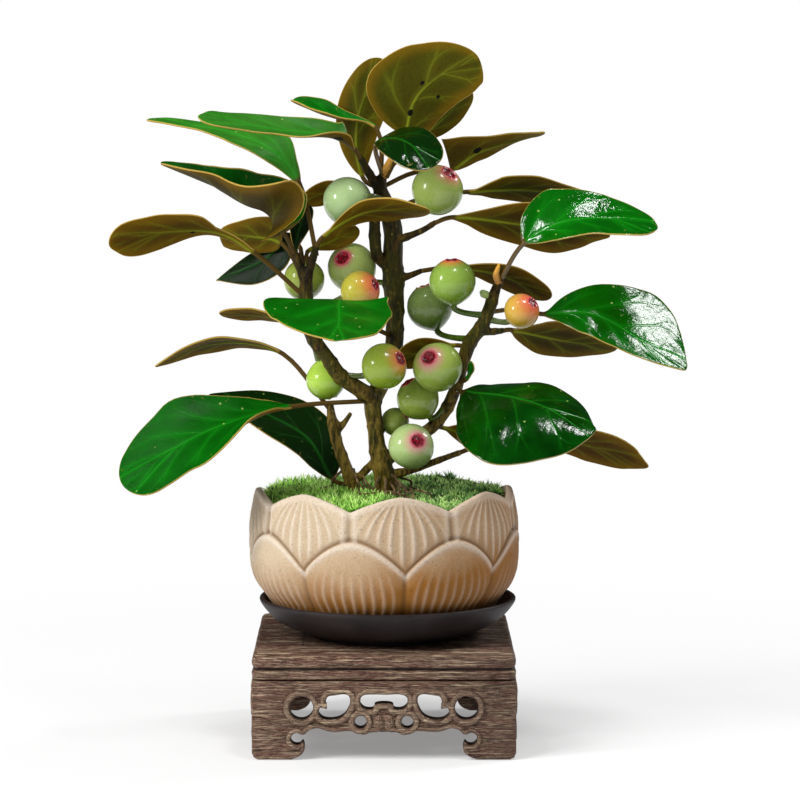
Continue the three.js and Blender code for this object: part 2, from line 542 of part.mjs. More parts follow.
function leafBody(leaf) {
  const { points, wide, faces, rise, foot = 0.95, tip = 0.55, broadest = 0.6, start = 1 } = leaf;
  const [foots, tips, broads] = [foot, tip, broadest].map((value) => [value, value].flat());
  const curve = new THREE.CatmullRomCurve3(points.map(vec));
  const detail = 40;
  curve.arcLengthDivisions = detail * (points.length - 1);
  const lengths = curve.getLengths();
  const total = lengths.at(-1);
  const stalkLength = lengths[detail * start];
  const stalkStations = stalkLength > 16 ? [0, 0.3, 0.65] : [0, 0.5];
  const bladeStations = leaf.small
    ? [0, 0.18, 0.4, 0.62, 0.82, 0.95, 1]
    : [0, 0.09, 0.22, 0.38, 0.56, 0.74, 0.88, 0.965, 1];
  const ring = (length, t) => {
    const s = clamp(length / total, 0, 1);
    const [face, nextFace, between] = along(faces, t);
    const [stand, nextStand, part] = along(rise, t);
    return leafRing({
      at: curve.getPointAt(s),
      ahead: curve.getTangentAt(s),
      face: vec(face).normalize().lerp(vec(nextFace).normalize(), between),
      stalk: clamp(1 - t / 0.12, 0, 1),
      wide: wide.map((w, k) => Math.max(
        w * (t >= 1 ? 0.12 : bladeWidth(t, broads[k], foots[k], tips[k])), PETIOLE)),
      rise: mix(stand, nextStand, part),
    }, leaf.small ? 3 : 5);
  };
  const rings = [
    ...stalkStations.map((f) => ring(f * stalkLength, 0)),
    ...bladeStations.map((t) => ring(mix(stalkLength, total, t), t)),
  ];
  return solidOf(loft(rings, true));
}

// Figs: the middle, the radius, where the stalk leaves the stem, and the direction of the eye
const FIGS = [
  ['top_left', [-14.6, 0, 217.4], 10, [0, 4, 217.6], [-0.9, -0.35, -0.2]],
  ['top_right', [21.5, -2, 222], 10.3, [1.6, 4.6, 213.6], [0.46, -0.5, 0.73]],
  ['middle_left', [-13, 8, 190.2], 10, [4, 7, 184], [-0.4, -0.79, 0.46]],
  ['yellow_left', [-9.6, -10, 182], 8, [-31, -8, 172], [0.8, -0.48, 0.35]],
  ['outer_left', [-32.5, 7, 185.4], 8.4, [-31.5, -8, 176], [-0.3, 0.8, 0.6]],
  ['middle_right', [27.5, -7, 185.4], 9.3, [41.5, -3, 171.6], [-0.05, -0.1, 1]],
  ['dark_right', [18.6, 8, 174.2], 9.4, [35, -3, 162], [-0.3, 0, 0.95]],
  ['yellow_right', [55.4, -8, 173.6], 7.1, [42, -3, 170], [0.62, -0.55, 0.56]],
  ['low_left', [-23.6, 2, 145], 8, [-29.4, -8, 166], [0.35, 0.1, -0.93]],
  ['centre', [0, -11, 151.6], 9.2, [-18.4, -5.6, 148], [0.74, -0.54, 0.4]],
  ['right', [21.5, -11, 151.2], 10, [32, -2, 153], [-0.37, -0.8, 0.48]],
  ['below_right', [13.8, 0, 137.4], 8.7, [27.4, 2, 137], [-0.5, -0.2, 0.8]],
  ['low_centre', [11, -9, 119], 9.2, [2, 1.4, 113], [0.28, -0.89, 0.36]],
  ['olive_hidden', [4.6, 6, 127.4], 5.8, [-3.4, 1, 124], [0.7, -0.3, 0.5]],
];

// A fig in one piece with its stalk: the stalk bends from the stem into the neck, the body
// swells, and its end is sunk into a small crater, the eye
function figBody([, middle, radius, root, eye]) {
  const sides = 8;
  const centre = vec(middle);
  const axis = vec(eye).normalize();
  const neck = centre.clone().addScaledVector(axis, -1.06 * radius);
  const bend = neck.clone().addScaledVector(axis, -0.35 * radius);
  const stalk = new THREE.QuadraticBezierCurve3(vec(root), bend, neck);
  const stations = [0, 0.35, 0.7].map((t) => ({
    at: stalk.getPoint(t), along: stalk.getTangent(t), radius: PEDUNCLE }));
  const body = [[-1.06, 0.16], [-0.9, 0.42], [-0.6, 0.78], [-0.2, 0.97], [0.2, 0.97],
    [0.6, 0.79], [0.88, 0.46], [0.97, 0.24], [0.9, 0.14]];
  body.forEach(([along, width]) => stations.push({
    at: centre.clone().addScaledVector(axis, along * radius), along: axis, radius: width * radius }));
  return solidOf(loft(tubeRings(stations, sides, 0)));
}

// Assembly
const bonsai = new THREE.Group();

function add(name, geometry, [colour, roughness], place = () => {}) {
  const material = new THREE.MeshStandardMaterial({ color: colour, roughness, metalness: 0 });
  const mesh = new THREE.Mesh(geometry, material);
  mesh.name = name;
  place(mesh);
  bonsai.add(mesh);
}

add('stand_top', standBoard(), COLOUR.wood);
const endPanel = carvedPanel(STAND_WIDTH / 2);
const sidePanel = carvedPanel(STAND_DEPTH / 2 - PANEL - GAP);
const panelY = (STAND_DEPTH - PANEL) / 2;
const panelX = (STAND_WIDTH - PANEL) / 2;
add('stand_panel_front', endPanel, COLOUR.wood, (mesh) => mesh.position.set(0, -panelY, 0));
add('stand_panel_back', endPanel, COLOUR.wood, (mesh) => mesh.position.set(0, panelY, 0));
[['left', -panelX], ['right', panelX]].forEach(([side, x]) => {
  add(`stand_panel_${side}`, sidePanel, COLOUR.wood, (mesh) => {
    mesh.position.set(x, 0, 0);
    mesh.rotation.z = 90 * DEG;
  });
});
add('saucer', saucer(), COLOUR.saucer);
add('pot', pot(), COLOUR.pot);

const stemHole = stemsBody(GAP);
add('soil', geometryOfSolid(solidOf(soil()).subtract(stemHole)), COLOUR.soil);
add('moss', geometryOfSolid(solidOf(moss()).subtract(stemHole)), COLOUR.moss);
add('stems', geometryOfSolid(stemsBody(0)), COLOUR.bark);
Object.entries(LEAVES).forEach(([name, leaf]) => {
  const body = mainBody(leafBody(leaf).subtract(stemHole));
  add(`leaf_${name}`, geometryOfSolid(body), COLOUR.leaf);
});
FIGS.forEach((fig) => {
  const body = mainBody(figBody(fig).subtract(stemHole));
  add(`fig_${fig[0]}`, geometryOfSolid(body), COLOUR.fig);
});

// The origin goes under the middle of the whole outline, on the floor
bonsai.updateMatrixWorld(true);
const middle = new THREE.Box3().setFromObject(bonsai).getCenter(new THREE.Vector3());
bonsai.position.set(-middle.x, -middle.y, 0);

export default bonsai;
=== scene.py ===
"""A mistletoe fig bonsai in a lotus pot on a carved stand, dressed for rendering.

Lengths in the tables are millimetres, measured from the stand's axis on the floor, with the
front towards -Y. The new pieces are surfaces worked out with numpy. Blender only fuses the
stems' tubes and fills the outlines of the pierced panels.
"""
import math

import bmesh
import bpy
import numpy as np
from bpy.props import FloatProperty, FloatVectorProperty, IntProperty, PointerProperty
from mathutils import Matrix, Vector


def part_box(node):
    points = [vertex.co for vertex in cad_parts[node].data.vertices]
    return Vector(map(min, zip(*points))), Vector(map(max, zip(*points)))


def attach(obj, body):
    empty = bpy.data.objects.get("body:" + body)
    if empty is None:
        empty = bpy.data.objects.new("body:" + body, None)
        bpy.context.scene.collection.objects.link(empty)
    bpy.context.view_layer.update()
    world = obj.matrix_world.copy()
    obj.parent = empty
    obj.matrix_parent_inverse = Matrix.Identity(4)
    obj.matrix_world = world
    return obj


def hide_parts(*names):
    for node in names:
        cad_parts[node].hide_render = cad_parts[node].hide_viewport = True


bl_info = {
    "name": "Fig bonsai",
    "version": (1, 0, 0),
    "blender": (4, 5, 0),
    "location": "3D View > Sidebar > Bonsai",
    "description": "Builds the leaves, figs, stems, moss, pot, saucer and stand of a small fig",
    "category": "Object",
}

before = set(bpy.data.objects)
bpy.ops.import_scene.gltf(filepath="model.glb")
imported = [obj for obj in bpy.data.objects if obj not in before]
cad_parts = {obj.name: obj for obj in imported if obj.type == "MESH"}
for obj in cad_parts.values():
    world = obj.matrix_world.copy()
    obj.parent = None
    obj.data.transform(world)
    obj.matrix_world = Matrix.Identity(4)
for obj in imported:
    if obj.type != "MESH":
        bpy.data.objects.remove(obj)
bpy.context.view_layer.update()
STAND_BOX = [np.array(corner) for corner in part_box("stand_top")]
AXIS = (STAND_BOX[0] + STAND_BOX[1]) / 2 * (1, 1, 0)
MM = 0.001
TURN = 2 * math.pi
SPIRAL = 2.39996  # radians from one seed of a sunflower to the next

# Each stem and bud: its x, y, z and radius at points along it
STEMS = [
    # the trunk, from the soil to the first node
    [[1, 0, 66, 4.2], [1, 0, 97, 4.6], [0.3, 0, 106, 4.1], [-1, 0, 110.5, 4.4],
        [-2.5, 0, 117, 3.4], [-3.6, 1, 127, 3.1], [-4.5, 1, 136, 3.7], [-1, 5, 144, 3.7],
        [3.6, 8, 156, 3.7], [4.6, 8, 170, 3.6], [4, 7, 183, 4.3], [3.6, 6, 195, 4.1],
        [3.6, 5.5, 205, 4], [1.2, 4.5, 215, 3.3], [-1.5, 3, 222, 3], [-0.6, 1, 228, 1.9]],
    # the left branch and its two forks
    [[-4.5, 1, 136, 3.4], [-9, -2, 141, 3.3], [-15, -4, 145, 3.1], [-19.5, -6, 149.5, 3.1],
        [-23, -7, 155, 2.8], [-28, -8, 162, 2.9], [-31, -8, 170, 2.7], [-31.6, -8, 180, 2.9],
        [-31.4, -8, 187, 2.6]],
    [[-31.6, -8, 184, 2], [-33.2, -8, 190, 1.9], [-35.6, -8.5, 197, 1.4]],
    [[-31.4, -8, 184, 2], [-29.4, -9, 192, 1.7], [-27, -10, 200, 1.3]],
    # the right branch, which leaves the trunk low down and climbs behind the figs
    [[-1, 0, 111, 2.8], [6, 4, 116, 2.8], [13, 5.5, 121, 2.6], [20, 5, 126, 2.6],
        [26, 3, 134, 2.6], [29.6, 0, 143, 2.5], [32, -2, 153, 2.7], [35, -3, 161, 2.9],
        [40, -3, 168, 2.8], [43, -3, 176, 2.6], [45.4, -4, 183, 1.9], [47, -5, 187, 1.5]],
    [[37, -3, 165, 1.7], [43, -3, 165, 1.5], [48.5, -2, 165.3, 1.2]],
    # the low twig to the right
    [[0, -1, 106, 2], [10, -1, 108.2, 1.7], [21, -1, 112, 1.4], [31, 0, 115.6, 1.1]],
    # twigs of the upper trunk, its cut stub and the shoot above it
    [[3.6, 5.5, 201, 1.8], [10, 2, 203.4, 1.5], [16, 0, 206, 1.3], [21, -1.2, 209.2, 1.1]],
    [[4, 7, 185.6, 1.6], [10, 6, 187, 1.4], [15.5, 6.5, 189.2, 1.1]],
    [[2, 6, 190, 2], [-2.6, 3, 195, 2.3], [-3.6, 2, 202, 2.4], [-3.8, 2, 210, 2.3]],
    [[-2, 2.5, 222, 2.3], [-6, -2, 229, 1.7], [-9.6, -6, 235.4, 1.3]],
    # the second stem and its side shoots
    [[-12, 3, 66, 2.6], [-12.2, 3, 97, 2.9], [-14, 3, 105, 2.7], [-17, 4, 113, 2.4],
        [-19.6, 4, 121, 2.3], [-20.4, 4.4, 125, 2.6], [-21.4, 5, 130, 1.9], [-22, 6, 135, 1.4]],
    [[-19.8, 4.2, 122.6, 1.5], [-16.4, 4, 127, 1.2], [-13.4, 4, 131.4, 0.9]],
    [[-12.6, 3, 102.6, 1.6], [-8, 2, 107.4, 1.6], [-3, 0.6, 113, 1.6]],
]

BUDS = [
    [[0, 1, 227, 1.5], [0.9, 0, 230.4, 1.7], [2.2, -1, 233.6, 1.2], [3.2, -1.6, 237, 0.35]],
    [[46.2, -5.6, 184.6, 1.3], [45.2, -6.4, 188, 1.3], [45.6, -6.8, 190.4, 0.9],
        [46.4, -7, 192.8, 0.35]],
    [[42.6, -3, 178.6, 1.1], [40.9, -3.6, 180, 1.6], [39.6, -4, 180.8, 1.4],
        [38.8, -4.2, 181.2, 0.6]],
]

# Half-widths of two kinds of small leaf
NARROW = [0.1, 0.8, 2.4, 3.9, 5.2, 5.9, 5.9, 5.1, 4, 2.5]
OVAL = [0.1, 0.8, 2.6, 4.2, 5.7, 6.4, 6.4, 5.6, 4.4, 2.7]

# Each leaf: points along its stalk and midrib; the half-widths of its left and right half, or of
# both alike, at the reaches in WIDTHS_AT; the ways that its upper side faces from base to tip;
# how far its halves rise, along both or for each half; how brown its underside is; how bright
# its upper side is, partly its own green and partly painted light and shade: values above 0.7
# add painted light, values below 0.5 paint shade on the underside and values below 0 paint
# shade on the upper side too; then what sets it apart. Glands are (across, reach, radius).
LEAVES = {
    "crown_front": ([[1, 0, 227], [8, -1, 242], [12.4, -5, 258.2], [22.4, -9, 267.7],
        [38.2, -12, 274]], [[6.2, 8.8, 12.1, 13.3, 13.4, 13.2, 12.7, 11.9, 10.1, 8],
        [1.1, 7.9, 15.3, 20.9, 19.5, 17.1, 13.6, 10.5, 7.4, 4.3]], [[-0.1, 1, 0.1],
        [-0.1, 1, -0.1]], [0.1], 0.25, 0.5, dict(glands=[(0, 0.24, 1.1), (0.1, 0.5, 0.8),
        (-0.3, 0.52, 0.8)])),
    "crown_left": ([[-1.4, 3, 222.6], [-8, 7, 226], [-11, 12, 248], [-1, 13, 275]],
        [[0.9, 3.3, 6.4, 8.4, 9.8, 10.4, 10.3, 9, 7.1, 4.4],
        [0.6, 2.6, 5.5, 7.6, 9.2, 9.9, 9.8, 8.6, 6.7, 4.2]], [[0.2, 1, 0]], [0.1], 0.2, 0.38, {}),
    "crown_right": ([[-0.6, 1, 227], [9, 6, 238], [22, 10, 249], [35.5, 11, 262]], [OVAL,
        [0.1, 1, 3.1, 5.2, 7, 7.9, 7.8, 6.9, 5.4, 3.3]], [[-0.3, 1, 0.3]], [0.1], 0.1, 0.5,
        dict(small=True)),
    "crown_side": ([[-1, 2, 225], [-3, 4.5, 247], [-19, 6, 251.2], [-37.5, 17, 258]], [NARROW],
        [[0.2, -0.4, 0.9]], [0.5], 0.7, 0.55, dict(small=True)),
    "crown_dark": ([[-0.6, 0, 228], [-3.4, -4, 240], [7, -20, 242.3], [20.2, -33, 232.5]],
        [[0.9, 3.3, 6.4, 8.4, 9.8, 10.4, 10.3, 9, 7.1, 4.4],
        [0.8, 3, 5.8, 7.6, 8.8, 9.5, 9.3, 8.1, 6.4, 4]], [[-0.1, -0.7, 0.7], [-0.15, -0.78, 0.6]],
        [-0.15], 0.5, -0.15, {}),
    "upper_left_far": ([[-27, -9, 196], [-34.1, -2, 224.9], [-43.1, 0, 236.3], [-60.5, 6, 244.3],
        [-96.8, 16, 250.1]], [[2, 3.5, 5.2, 6.5, 7.7, 6.5, 3.6, 2.1, 1.1, 1],
        [1.8, 3.9, 9.2, 7.2, 6.6, 6, 5.5, 5.2, 4.6, 2.5]], [[-0.5, -0.75, 0.4], [0, -0.4, 0.9],
        [0.1, -0.3, 1]], [0, 0.1], 0.6, 0.8, {}),
    "upper_left_near": ([[-9.6, -6, 234.6], [-11.5, -8, 238.4], [-20, -12, 243.4],
        [-40.9, -18, 246], [-73.2, -29, 251.5]],
        [[3.1, 6.8, 9.4, 10.5, 9.1, 6.6, 5.9, 5.8, 4.9, 3.2],
        [3.6, 8, 7, 7.7, 8.2, 8.2, 8.3, 7.4, 6.3, 2.9]], [[0.3, -0.25, 1], [0.1, -0.45, 0.9],
        [0.1, -0.55, 0.85]], [0.9, 0.4, 0.1, 0], 0.65, 0.8, dict(glands=[(-0.45, 0.16, 1.5)])),
    "middle_left_upper": ([[-35.2, -8.4, 195], [-40, -9, 205], [-46.9, -11, 214.7],
        [-61.7, -15, 221.8], [-88.2, -25, 233.2]],
        [[8.6, 16.2, 22.7, 22.7, 19.2, 15.5, 12.2, 8.3, 4.3, 1.6],
        [8.8, 11.7, 12.1, 10.2, 8.7, 7.1, 7.3, 6.6, 5.9, 3.9]], [[-0.56, -0.24, 0.79],
        [0.85, -0.42, 0.33], [-0.65, -0.23, 0.72], [-0.17, -0.07, 0.98]],
        [[1.02, 1.66, 0.13, 0.21], [1.19, 0.51, 1.01, 0.37]], 0.62, 0.3,
        dict(glands=[(0, 0.3, 1.5)])),
    "long_left": ([[-31.5, -8, 179], [-51, -17, 197], [-65.8, -22, 205.9], [-85.5, -28, 206.3],
        [-108, -37, 201.7]], [[1.3, 1.5, 2, 4.6, 8.2, 7.7, 7.4, 7.4, 6.6, 4.2],
        [1.5, 1.5, 2, 2.8, 4.2, 5.8, 7.1, 7.4, 6, 3]], [[0.2, 0.8, 0.5], [0, 0.6, 0.8],
        [-0.1, 1, 0.2], [-0.1, 1, 0.2]], [0], 0.8, 0.5, dict(glands=[(0.1, 0.45, 0.7)])),
    "behind_long_left": ([[-32.6, -7.6, 187], [-41.1, 2, 200.3], [-54.5, 8, 203.1],
        [-67.4, 14, 203.7]], [[1, 7.5, 9, 8.7, 7.9, 6.8, 5.6, 4.5, 3.3, 1.5],
        [0.6, 4.5, 6.2, 7, 7.3, 7.4, 7.3, 7, 6.4, 5.5]], [[0.1, 0.95, 0.3]], [0.1], 0.65, 0.5,
        dict(small=True)),
    "dark_left": ([[-31.5, -7, 184], [-36, 4, 202], [-50.3, 11, 192.4], [-69, 20, 184.3]],
        [[2.2, 5.6, 8.3, 8.9, 8.9, 7.9, 6.1, 3.8, 1.9, 0.6],
        [1.7, 4.4, 6.4, 6.9, 6.9, 6.1, 4.7, 3, 1.5, 0.5]], [[-0.3, -0.85, 0.4]], [-0.1], 0.6, -0.3,
        dict(small=True)),
    "dark_small": ([[-33.6, -8, 191], [-35.4, -6, 196], [-34.4, -1, 206], [-30, 0, 216]],
        [[0.1, 0.5, 1.6, 2.6, 3.5, 4, 3.9, 3.4, 2.7, 1.7]], [[0.1, -1, 0.1]], [0], 0.6, -0.35,
        dict(small=True)),
    "centre_brown": ([[-27.4, -10, 199], [-25, -11, 203], [-8, -18, 213.7], [17.8, -31, 215.1]],
        [[0.2, 1.2, 3.7, 6.2, 8.3, 9.4, 9.3, 8.1, 6.4, 4],
        [0.1, 0.9, 2.9, 4.9, 6.5, 7.4, 7.3, 6.4, 5, 3.1]], [[0, 0.7, 0.7], [0, 0.5, 0.9]], [0.1],
        0.85, 0.5, {}),
    "behind_centre": ([[-29.6, -9, 191], [-31, -1, 197], [-22, 1.5, 201], [-10, 3, 206]],
        [[0.1, 0.6, 1.8, 2.9, 3.9, 4.5, 4.4, 3.9, 3, 1.9]], [[0.2, 1, 0.2]], [0], 0.8, 0.4,
        dict(small=True)),
    "behind_fig": ([[1.2, 5, 213], [-8, 14, 216], [-20.1, 17, 220.9], [-33.3, 19, 216.7]],
        [[0.1, 0.6, 2, 3.3, 4.4, 5, 4.9, 4.3, 3.4, 2.1]], [[0.1, 1, 0.3]], [0], 0.85, 0.4,
        dict(small=True)),
    "front": ([[2, 6, 163], [-9, -10, 169.6], [-17.1, -20, 178.1], [-17.6, -41, 172.3],
        [-18.5, -62, 165.7]], [[8, 18.7, 19.6, 20.5, 20.9, 20.1, 19.4, 17.4, 15.9, 12.1],
        [12.2, 26.5, 29.7, 27.7, 25.8, 22.1, 17.2, 12.2, 6.4, 3]], [[0, -0.22, 1],
        [-0.1, -0.45, 0.9]], [[0.24, 0, 0.05, 0.05], [0.1, 0, 0.05, 0.05]], 0.7, 0.62,
        dict(start=2)),
    "behind_front": ([[-26, -7.6, 159], [-31, -6, 165.9], [-47.3, 0, 171], [-67, 9, 171.3]],
        [NARROW], [[0, 0.5, 0.9]], [0], 0.9, 0.3, dict(small=True)),
    "arched_left": ([[-21.6, 5.6, 132], [-41.4, 14, 154.6], [-59.2, 18, 159.2], [-75.8, 22, 157],
        [-94.7, 26, 148.4]], [[1.6, 3, 5, 6.2, 6.9, 6.8, 5.6, 4, 2.6, 1.2]], [[0, 0.42, 0.91]],
        [-0.1], 0.35, 0.2, {}),
    "low_left": ([[-4.5, 1, 136.6], [-35.9, -11, 135.5], [-57.8, -21, 131.1], [-80.4, -31, 122],
        [-102.3, -40, 106]], [[1.5, 4, 9.2, 15.5, 17.3, 17.5, 14.7, 13.4, 11.8, 8.1],
        [2.5, 4.2, 8.3, 13.1, 17.6, 19.7, 17.2, 14.6, 11.6, 7.2]], [[0, -0.3, 1], [0, -0.35, 0.95],
        [-0.35, -0.75, 0.5], [-0.4, -0.8, 0.4]], [0.7, 0.5, 0.1, 0], 0.9, 0.5, {}),
    "low_left_back": ([[-13.4, 3, 102], [-20, 7, 102.9], [-31.1, 14, 119.5], [-48.4, 20, 129],
        [-73.1, 28, 136.1]], [[1, 3.7, 6.9, 8.2, 8.5, 7.9, 6.7, 5, 3.3, 1.7],
        [2.8, 7.4, 11.1, 12.3, 12.5, 11.7, 9.9, 7.3, 4.8, 2.5]], [[-0.3, -0.8, 0.4],
        [-0.2, -0.6, 0.8]], [0], 0.9, -0.22, {}),
    "top_right": ([[-1, 3, 223], [13, 12, 229], [27.1, 12, 229.9], [38.2, 14, 236.9],
        [66.1, 24, 244.8]], [[1, 2.2, 3.7, 4.3, 4, 2.9, 1.4, 0.7, 1.7, 1.8],
        [13, 14.1, 10.9, 7.6, 6.2, 5.5, 5, 4, 2.7, 1.8]], [[-0.4, 0.9, 0.2], [0, 0.4, 1]], [0],
        0.6, 0.6, dict(start=2, glands=[(0.1, 0.3, 1.3)])),
    "upper_right_back": ([[1.2, 5, 213], [18, 14, 219], [33.2, 15, 220.8], [57.5, 20, 221.7],
        [87.7, 29, 218.2]], [[1.5, 2.2, 4.5, 5.9, 6.9, 7.5, 7.4, 5.7, 4, 1.2],
        [0.1, 1.7, 5, 7.1, 7.5, 6.7, 5.2, 3.6, 2.2, 1]], [[0, 0.8, 0.6]], [0], 0.2, 0.3,
        dict(start=2)),
    "upper_right_brown": ([[20, -1, 208.6], [27, -1, 211], [60.3, 4, 207.4], [92, 10, 203]],
        [[1.5, 3.3, 6.7, 8.2, 9.5, 11, 11.1, 8.2, 3.8, 1.7],
        [0.7, 2.1, 5.2, 8.2, 10.1, 10.6, 11.2, 8.6, 6.6, 3.2]], [[0, 0.9, 0.4]], [0.05], 0.7, 0.2,
        {}),
    "upper_right_front": ([[46.6, -5, 185.6], [56, -11, 201], [70.8, -18, 209.6],
        [90.4, -25, 211.3], [107.6, -33, 207.7]],
        [[4.9, 10.5, 15, 14.4, 13.2, 10.9, 8.7, 7.1, 5.4, 2.8],
        [1.6, 4.1, 6.7, 8.3, 8.8, 8.5, 8.6, 8.2, 7, 4.8]], [[-0.1, -0.95, 0.3], [-0.1, -0.75, 0.6],
        [0, -0.62, 0.78]], [0.1], 0.6, 0.55, {}),
    "middle_right_dark": ([[15, 6.4, 189], [24, 9, 190], [45.2, 15, 187.7], [68.9, 25, 176.9]],
        [OVAL], [[0, 0.8, 0.6]], [0], 0.95, 0.05, {}),
    "big_right": ([[43.6, -2.6, 173], [53, 5, 173.4], [64, 0, 171.9], [83.6, -10, 172.6],
        [103.4, -19, 162], [120, -26, 151.4]],
        [[1.5, 5.7, 10.5, 15, 19, 21.2, 18.9, 13.3, 7.8, 3.4],
        [1.3, 3.3, 7.2, 9.3, 9.7, 8.7, 7.8, 5.7, 3.3, 1.6]], [[0.1, -0.9, 0.42],
        [0.2, -0.85, 0.5]], [0], 0.7, 0.45, dict(start=2)),
    "under_big_right": ([[48, -2, 165.3], [51.1, 0, 165.5], [71.3, 8, 161.1], [96, 17, 156.9]],
        [[1.8, 4.7, 7.6, 9.2, 9.6, 9.1, 8, 6.3, 4.5, 2.5],
        [0.4, 2.5, 6.4, 8.7, 9.3, 8.3, 7.1, 4.9, 3.2, 1.2]], [[0, 0.8, 0.6]], [0], 0.3, 0.12, {}),
    "low_right_front": ([[29, 0, 141], [32, -9, 141], [55.7, -25, 139.2], [83.7, -37, 128.5]],
        [[5.8, 9.8, 12, 14.7, 17.2, 16.9, 15.3, 11.5, 6.3, 2],
        [4.3, 15.9, 25.8, 29.4, 30.4, 29.1, 24.9, 18.7, 13.6, 7]], [[0, -0.6, 0.8],
        [0.3, -0.7, 0.6]], [-0.3], 0.7, 0.12, {}),
    "low_right_brown": ([[30, 0, 115.2], [40.1, 4, 118.2], [65.3, 10, 120.5], [88.8, 15, 115.7],
        [109.2, 20, 107.3]], [[0.1, 1, 3.1, 5.1, 6.7, 8.1, 8.8, 7.2, 4.5, 2.2],
        [0.1, 1, 3.1, 5.1, 6.7, 8.8, 9, 7.4, 4.5, 1.9]], [[0, 0.8, 0.6]], [0], 1, 0.35, {}),
    "behind_low_right": ([[20, 5, 126], [23, 11, 124.8], [34.2, 17, 121.4], [50.5, 24, 117.5]],
        [OVAL], [[0, 1, 0.2]], [0], 0.95, 0.1, dict(small=True)),
    "behind_right_figs": ([[34, -2, 158.4], [30, 2.4, 159], [19, 3, 157.6], [5, 2.6, 152]],
        [NARROW], [[0, 1, 0.2]], [0], 0.75, 0.2, dict(small=True)),
    "young_right": ([[30, -0.4, 144], [33.4, -5, 146], [35, -6, 149.6], [35, -6, 153.4]],
        [[0, 0.2, 0.7, 1.1, 1.4, 1.6, 1.5, 1.3, 0.9, 0.5]], [[-0.4, -0.9, 0]], [0], 0.7, 0.3,
        dict(small=True)),
}

# Leaves that catch the light
GLOSSY = ("big_right", "low_right_front", "upper_right_front", "crown_dark")

# Each fig: its middle and radius, where its stalk grows from, where its eye looks, its skin, the
# colour round its eye, and how far that colour spreads, from 0 to 1
FIGS = {
    "top_left": ([-14.6, 0, 217.4], 10, [0, 4, 217.6], [-0.75, 0.6, -0.2], "#a3c088", "#c98b7c",
        0.3),
    "top_right": ([21.5, -2, 222], 10.3, [1.6, 4.6, 213.6], [0.46, -0.5, 0.73], "#8fa548",
        "#c86a62", 0.5),
    "middle_left": ([-13, 8, 190.2], 10, [4, 7, 184], [-0.4, -0.79, 0.46], "#a0b35c", "#c2566a",
        0.35),
    "yellow_left": ([-9.6, -10, 182], 8, [-31, -8, 172], [0.8, -0.48, 0.35], "#b0a204", "#e0684a",
        0.8),
    "outer_left": ([-32.5, 7, 185.4], 8.4, [-31.5, -8, 176], [-0.3, 0.8, 0.6], "#8b9c24",
        "#b98b5a", 0.3),
    "middle_right": ([27.5, -7, 185.4], 9.3, [41.5, -3, 171.6], [-0.05, -0.1, 1], "#6f9418",
        "#e0723c", 0.5),
    "dark_right": ([18.6, 8, 174.2], 9.4, [35, -3, 162], [-0.3, 0, 0.95], "#304e0a", "#7a8a40",
        0.3),
    "yellow_right": ([55.4, -8, 173.6], 7.1, [42, -3, 170], [0.62, -0.55, 0.56], "#c08c04",
        "#d85e4a", 0.85),
    "low_left": ([-23.6, 2, 145], 8, [-29.4, -8, 166], [0.35, 0.1, -0.93], "#9cc42c", "#9aa860",
        0.3),
    "centre": ([0, -11, 151.6], 9.2, [-18.4, -5.6, 148], [0.74, -0.54, 0.4], "#96b01c", "#e08a4e",
        0.6),
    "right": ([21.5, -11, 151.2], 10, [32, -2, 153], [-0.37, -0.8, 0.48], "#8fa93a", "#dc8f92",
        0.5),
    "below_right": ([13.8, 0, 137.4], 8.7, [27.4, 2, 137], [-0.5, -0.2, 0.8], "#758e14", "#90a050",
        0.3),
    "low_centre": ([11, -9, 119], 9.2, [2, 1.4, 113], [0.28, -0.89, 0.36], "#adc680", "#d58b92",
        0.5),
    "olive_hidden": ([4.6, 6, 127.4], 5.8, [-3.4, 1, 124], [0.7, -0.3, 0.5], "#68780c", "#a09050",
        0.3),
}


# Shapes

def colour_of(code):
    """A linear colour from a hexadecimal one."""
    parts = [int(code[i:i + 2], 16) / 255 for i in (1, 3, 5)]
    return tuple(p / 12.92 if p < 0.04 else ((p + 0.055) / 1.055) ** 2.4 for p in parts)


def mix(low, high, share):
    return low + (high - low) * share


def smooth(low, high, value):
    """Rises from 0 at low to 1 at high with a level start and end."""
    part = np.clip((value - low) / (high - low), 0, 1)
    return part * part * (3 - 2 * part)


def hump(distance, width):
    """A rounded ridge: 1 in its middle, and one over e to the square of the distance in
    widths away from it."""
    return np.exp(-(distance / width) ** 2)


def unit(vectors):
    return vectors / np.maximum(np.linalg.norm(vectors, axis=-1, keepdims=True), 1e-9)


def circle(sides):
    """Even angles all round, in radians."""
    return np.linspace(0, TURN, sides, endpoint=False)


def triples(first, second=0, third=0):
    """Three numbers for each point. A single number is the same for all of them."""
    return np.stack(np.broadcast_arrays(first, second, third), -1)


def unevenness(points, size, seed=0):
    """Soft lumps from -1 to 1: sine waves that run in different directions, each with a
    wavelength near the given size, added up."""
    rng = np.random.default_rng(seed)
    waves = 9
    ways = unit(rng.normal(size=(waves, points.shape[-1]))) * rng.uniform(0.7, 1.5, (waves, 1))
    start = rng.uniform(0, TURN, waves)
    return np.sin(points @ ways.T * (TURN / size) + start).sum(-1) / (waves / 2)


